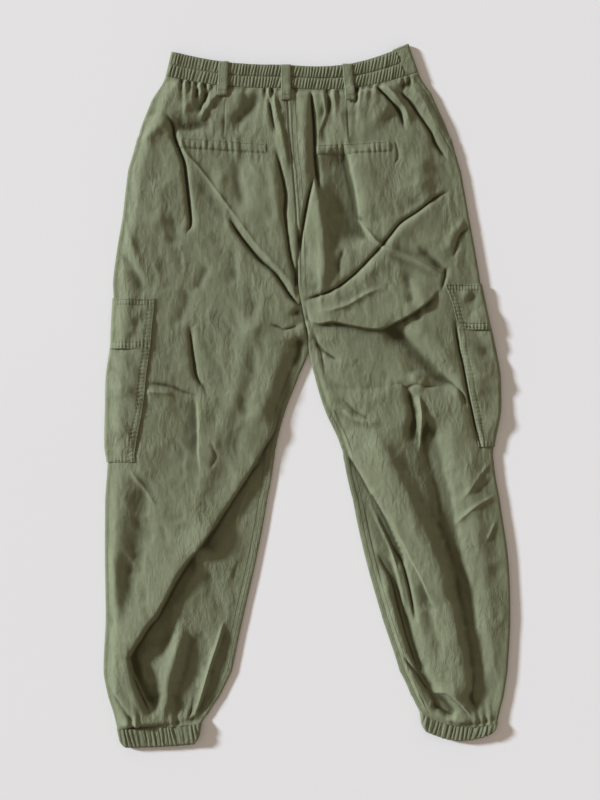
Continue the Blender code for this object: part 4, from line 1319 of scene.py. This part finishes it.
class TROUSERS_OT_stitching(Operator):
    """Sew the double topstitching along the seams, welts, loops, flaps and pockets"""

    bl_idname = "trousers.stitching"
    bl_label = "Stitching"

    def execute(self, context):
        for side, mark in (("left", "l"), ("right", "r")):
            flap_end = FLAP_END[side]
            height = surface_of((f"back_{side}_cloth", f"back_welt_{side}_cloth"))
            dart = np.reshape(GROOVES[side == "right"][3], (-1, 2))
            lines = [
                inner_line(side, "waist_seam", "flap_top_r", 3.0),
                across_line(side, "welt_top", *WELT_STITCHES[side], 1.6),
                across_line(side, "welt_bottom", *WELT_STITCHES[side], -1.8),
                dart,
            ]
            lines += [inner_line(side, "thigh_mid", "ankle", inset) for inset in INSEAM_STITCHES]
            if side == "right":
                lines.append(inner_line(side, "waist_seam", "flap_top_r", 9.5))
                lines += SIDE_SEAM
            sewn(f"panel_stitches_{side}", lines, height)
            height = surface_of((f"cargo_pocket_{side}_cloth",))
            lines = [edge_line(side, flap_end, f"pocket_base_{mark}", inset) for inset in POCKET_STITCHES]
            lines.append(across_line(side, f"pocket_base_{mark}", 5.0, 34.0 if side == "left" else 16.0, -2.2))
            sewn(f"pocket_stitches_{side}", lines, height)
            height = surface_of((f"cargo_flap_{side}_cloth",))
            wide = 56.0 if side == "left" else 36.0
            lines = [across_line(side, f"flap_top_{mark}", 4.0, wide, shift) for shift in (2.0, 8.6)]
            lines += [across_line(side, flap_end, 4.0, wide, shift) for shift in (0.6, -6.0)]
            curl_start = flap_end if side == "left" else "flap_top_l"
            lines += [edge_line(side, f"flap_top_{mark}", curl_start, inset) for inset in FLAP_STITCHES]
            sewn(f"flap_stitches_{side}", lines, height)
        height = surface_of(("waistband_elastic", "waistband_plain"))
        lines = []
        for level in (0.025, 0.5, 0.975):
            lines.append(band_line(level, "left", 5.0))
            lines.append(band_line(level, "right", 5.0 if level != 0.5 else BAND_WRAP))
        sewn("band_stitches", lines, height)
        lines = []
        height = surface_of([f"belt_loop_{row[0]}_cloth" for row in BELT_LOOPS])
        for _, top_x, bottom_x, top_y, bottom_y in BELT_LOOPS:
            for off in (-5.0, 5.0):
                lines.append([(top_x + off, top_y - 1.5), (bottom_x + off, bottom_y + 1.5)])
            for up in (1.6, 8.0):
                lines.append([(bottom_x - 5.6, bottom_y + up), (bottom_x + 5.6, bottom_y + up)])
        sewn("loop_stitches", lines, height)
        return {"FINISHED"}


# ---------------------------------------------------------------- stage


FLOOR_SIZE = 40.0  # metres, past the edge of every view
KEY_TOWARDS = (0.88, -0.34, -0.325)  # low light, from the left and from past the waist
KEY_STRENGTH = 6.6
KEY_SPREAD = 7.0  # degrees, for soft edges to the shadows
KEY_COLOUR = (0.79, 0.87, 0.96)
ROOM_COLOUR = (1.0, 0.85, 0.71, 1.0)  # warm, as it lights the shadows
ROOM_STRENGTH = 0.43
CAMERA_AT = (-0.0098, -0.0056, 1.508)
LENS = 48.2  # mm, on a sensor 36 mm wide


class TROUSERS_OT_stage(Operator):
    """Set the pale floor, the soft light and the camera straight above"""

    bl_idname = "trousers.stage"
    bl_label = "Stage"

    def execute(self, context):
        bpy.ops.object.select_all(action="DESELECT")
        bpy.ops.mesh.primitive_plane_add(size=FLOOR_SIZE, location=(0.0, 0.0, 0.0))
        floor = bpy.context.active_object
        floor.name = "floor"
        floor.data.materials.append(floor_material())

        sun = bpy.data.lights.new("key", "SUN")
        sun.energy = KEY_STRENGTH
        sun.angle = math.radians(KEY_SPREAD)
        sun.color = KEY_COLOUR
        key = bpy.data.objects.new("key", sun)
        key.rotation_mode = "QUATERNION"
        key.rotation_quaternion = Vector(KEY_TOWARDS).to_track_quat("-Z", "Y")
        context.scene.collection.objects.link(key)

        world = bpy.data.worlds.new("room")
        world.use_nodes = True
        background = world.node_tree.nodes["Background"]
        background.inputs["Color"].default_value = ROOM_COLOUR
        background.inputs["Strength"].default_value = ROOM_STRENGTH
        context.scene.world = world
        context.scene.view_settings.view_transform = "Standard"

        lens = bpy.data.cameras.new("camera")
        lens.lens = LENS
        lens.sensor_width = 36.0
        lens.clip_start = 0.05
        camera = bpy.data.objects.new("camera", lens)
        camera.location = CAMERA_AT
        context.scene.collection.objects.link(camera)
        context.scene.camera = camera
        return {"FINISHED"}


# ---------------------------------------------------------------- the add-on


STEPS = (
    TROUSERS_OT_fronts,
    TROUSERS_OT_backs,
    TROUSERS_OT_waistband,
    TROUSERS_OT_cuffs,
    TROUSERS_OT_cargo_pockets,
    TROUSERS_OT_welts,
    TROUSERS_OT_belt_loops,
    TROUSERS_OT_stitching,
    TROUSERS_OT_stage,
)


class TROUSERS_PT_sidebar(Panel):
    bl_idname = "TROUSERS_PT_sidebar"
    bl_label = "Cargo trousers"
    bl_space_type = "VIEW_3D"
    bl_region_type = "UI"
    bl_category = "Trousers"

    def draw(self, context):
        for settings in (context.scene.trousers_sizes, context.scene.trousers_colours):
            box = self.layout.box()
            for name in settings.__annotations__:
                box.prop(settings, name)
        for step in STEPS:
            self.layout.operator(step.bl_idname)


CLASSES = (TrousersSizes, TrousersColours, *STEPS, TROUSERS_PT_sidebar)


def register():
    for item in CLASSES:
        bpy.utils.register_class(item)
    bpy.types.Scene.trousers_sizes = PointerProperty(type=TrousersSizes)
    bpy.types.Scene.trousers_colours = PointerProperty(type=TrousersColours)


def unregister():
    del bpy.types.Scene.trousers_colours
    del bpy.types.Scene.trousers_sizes
    for item in reversed(CLASSES):
        bpy.utils.unregister_class(item)


def main():
    register()
    for step in STEPS:
        group, name = step.bl_idname.split(".")
        getattr(getattr(bpy.ops, group), name)()


if __name__ == "__main__":
    main()
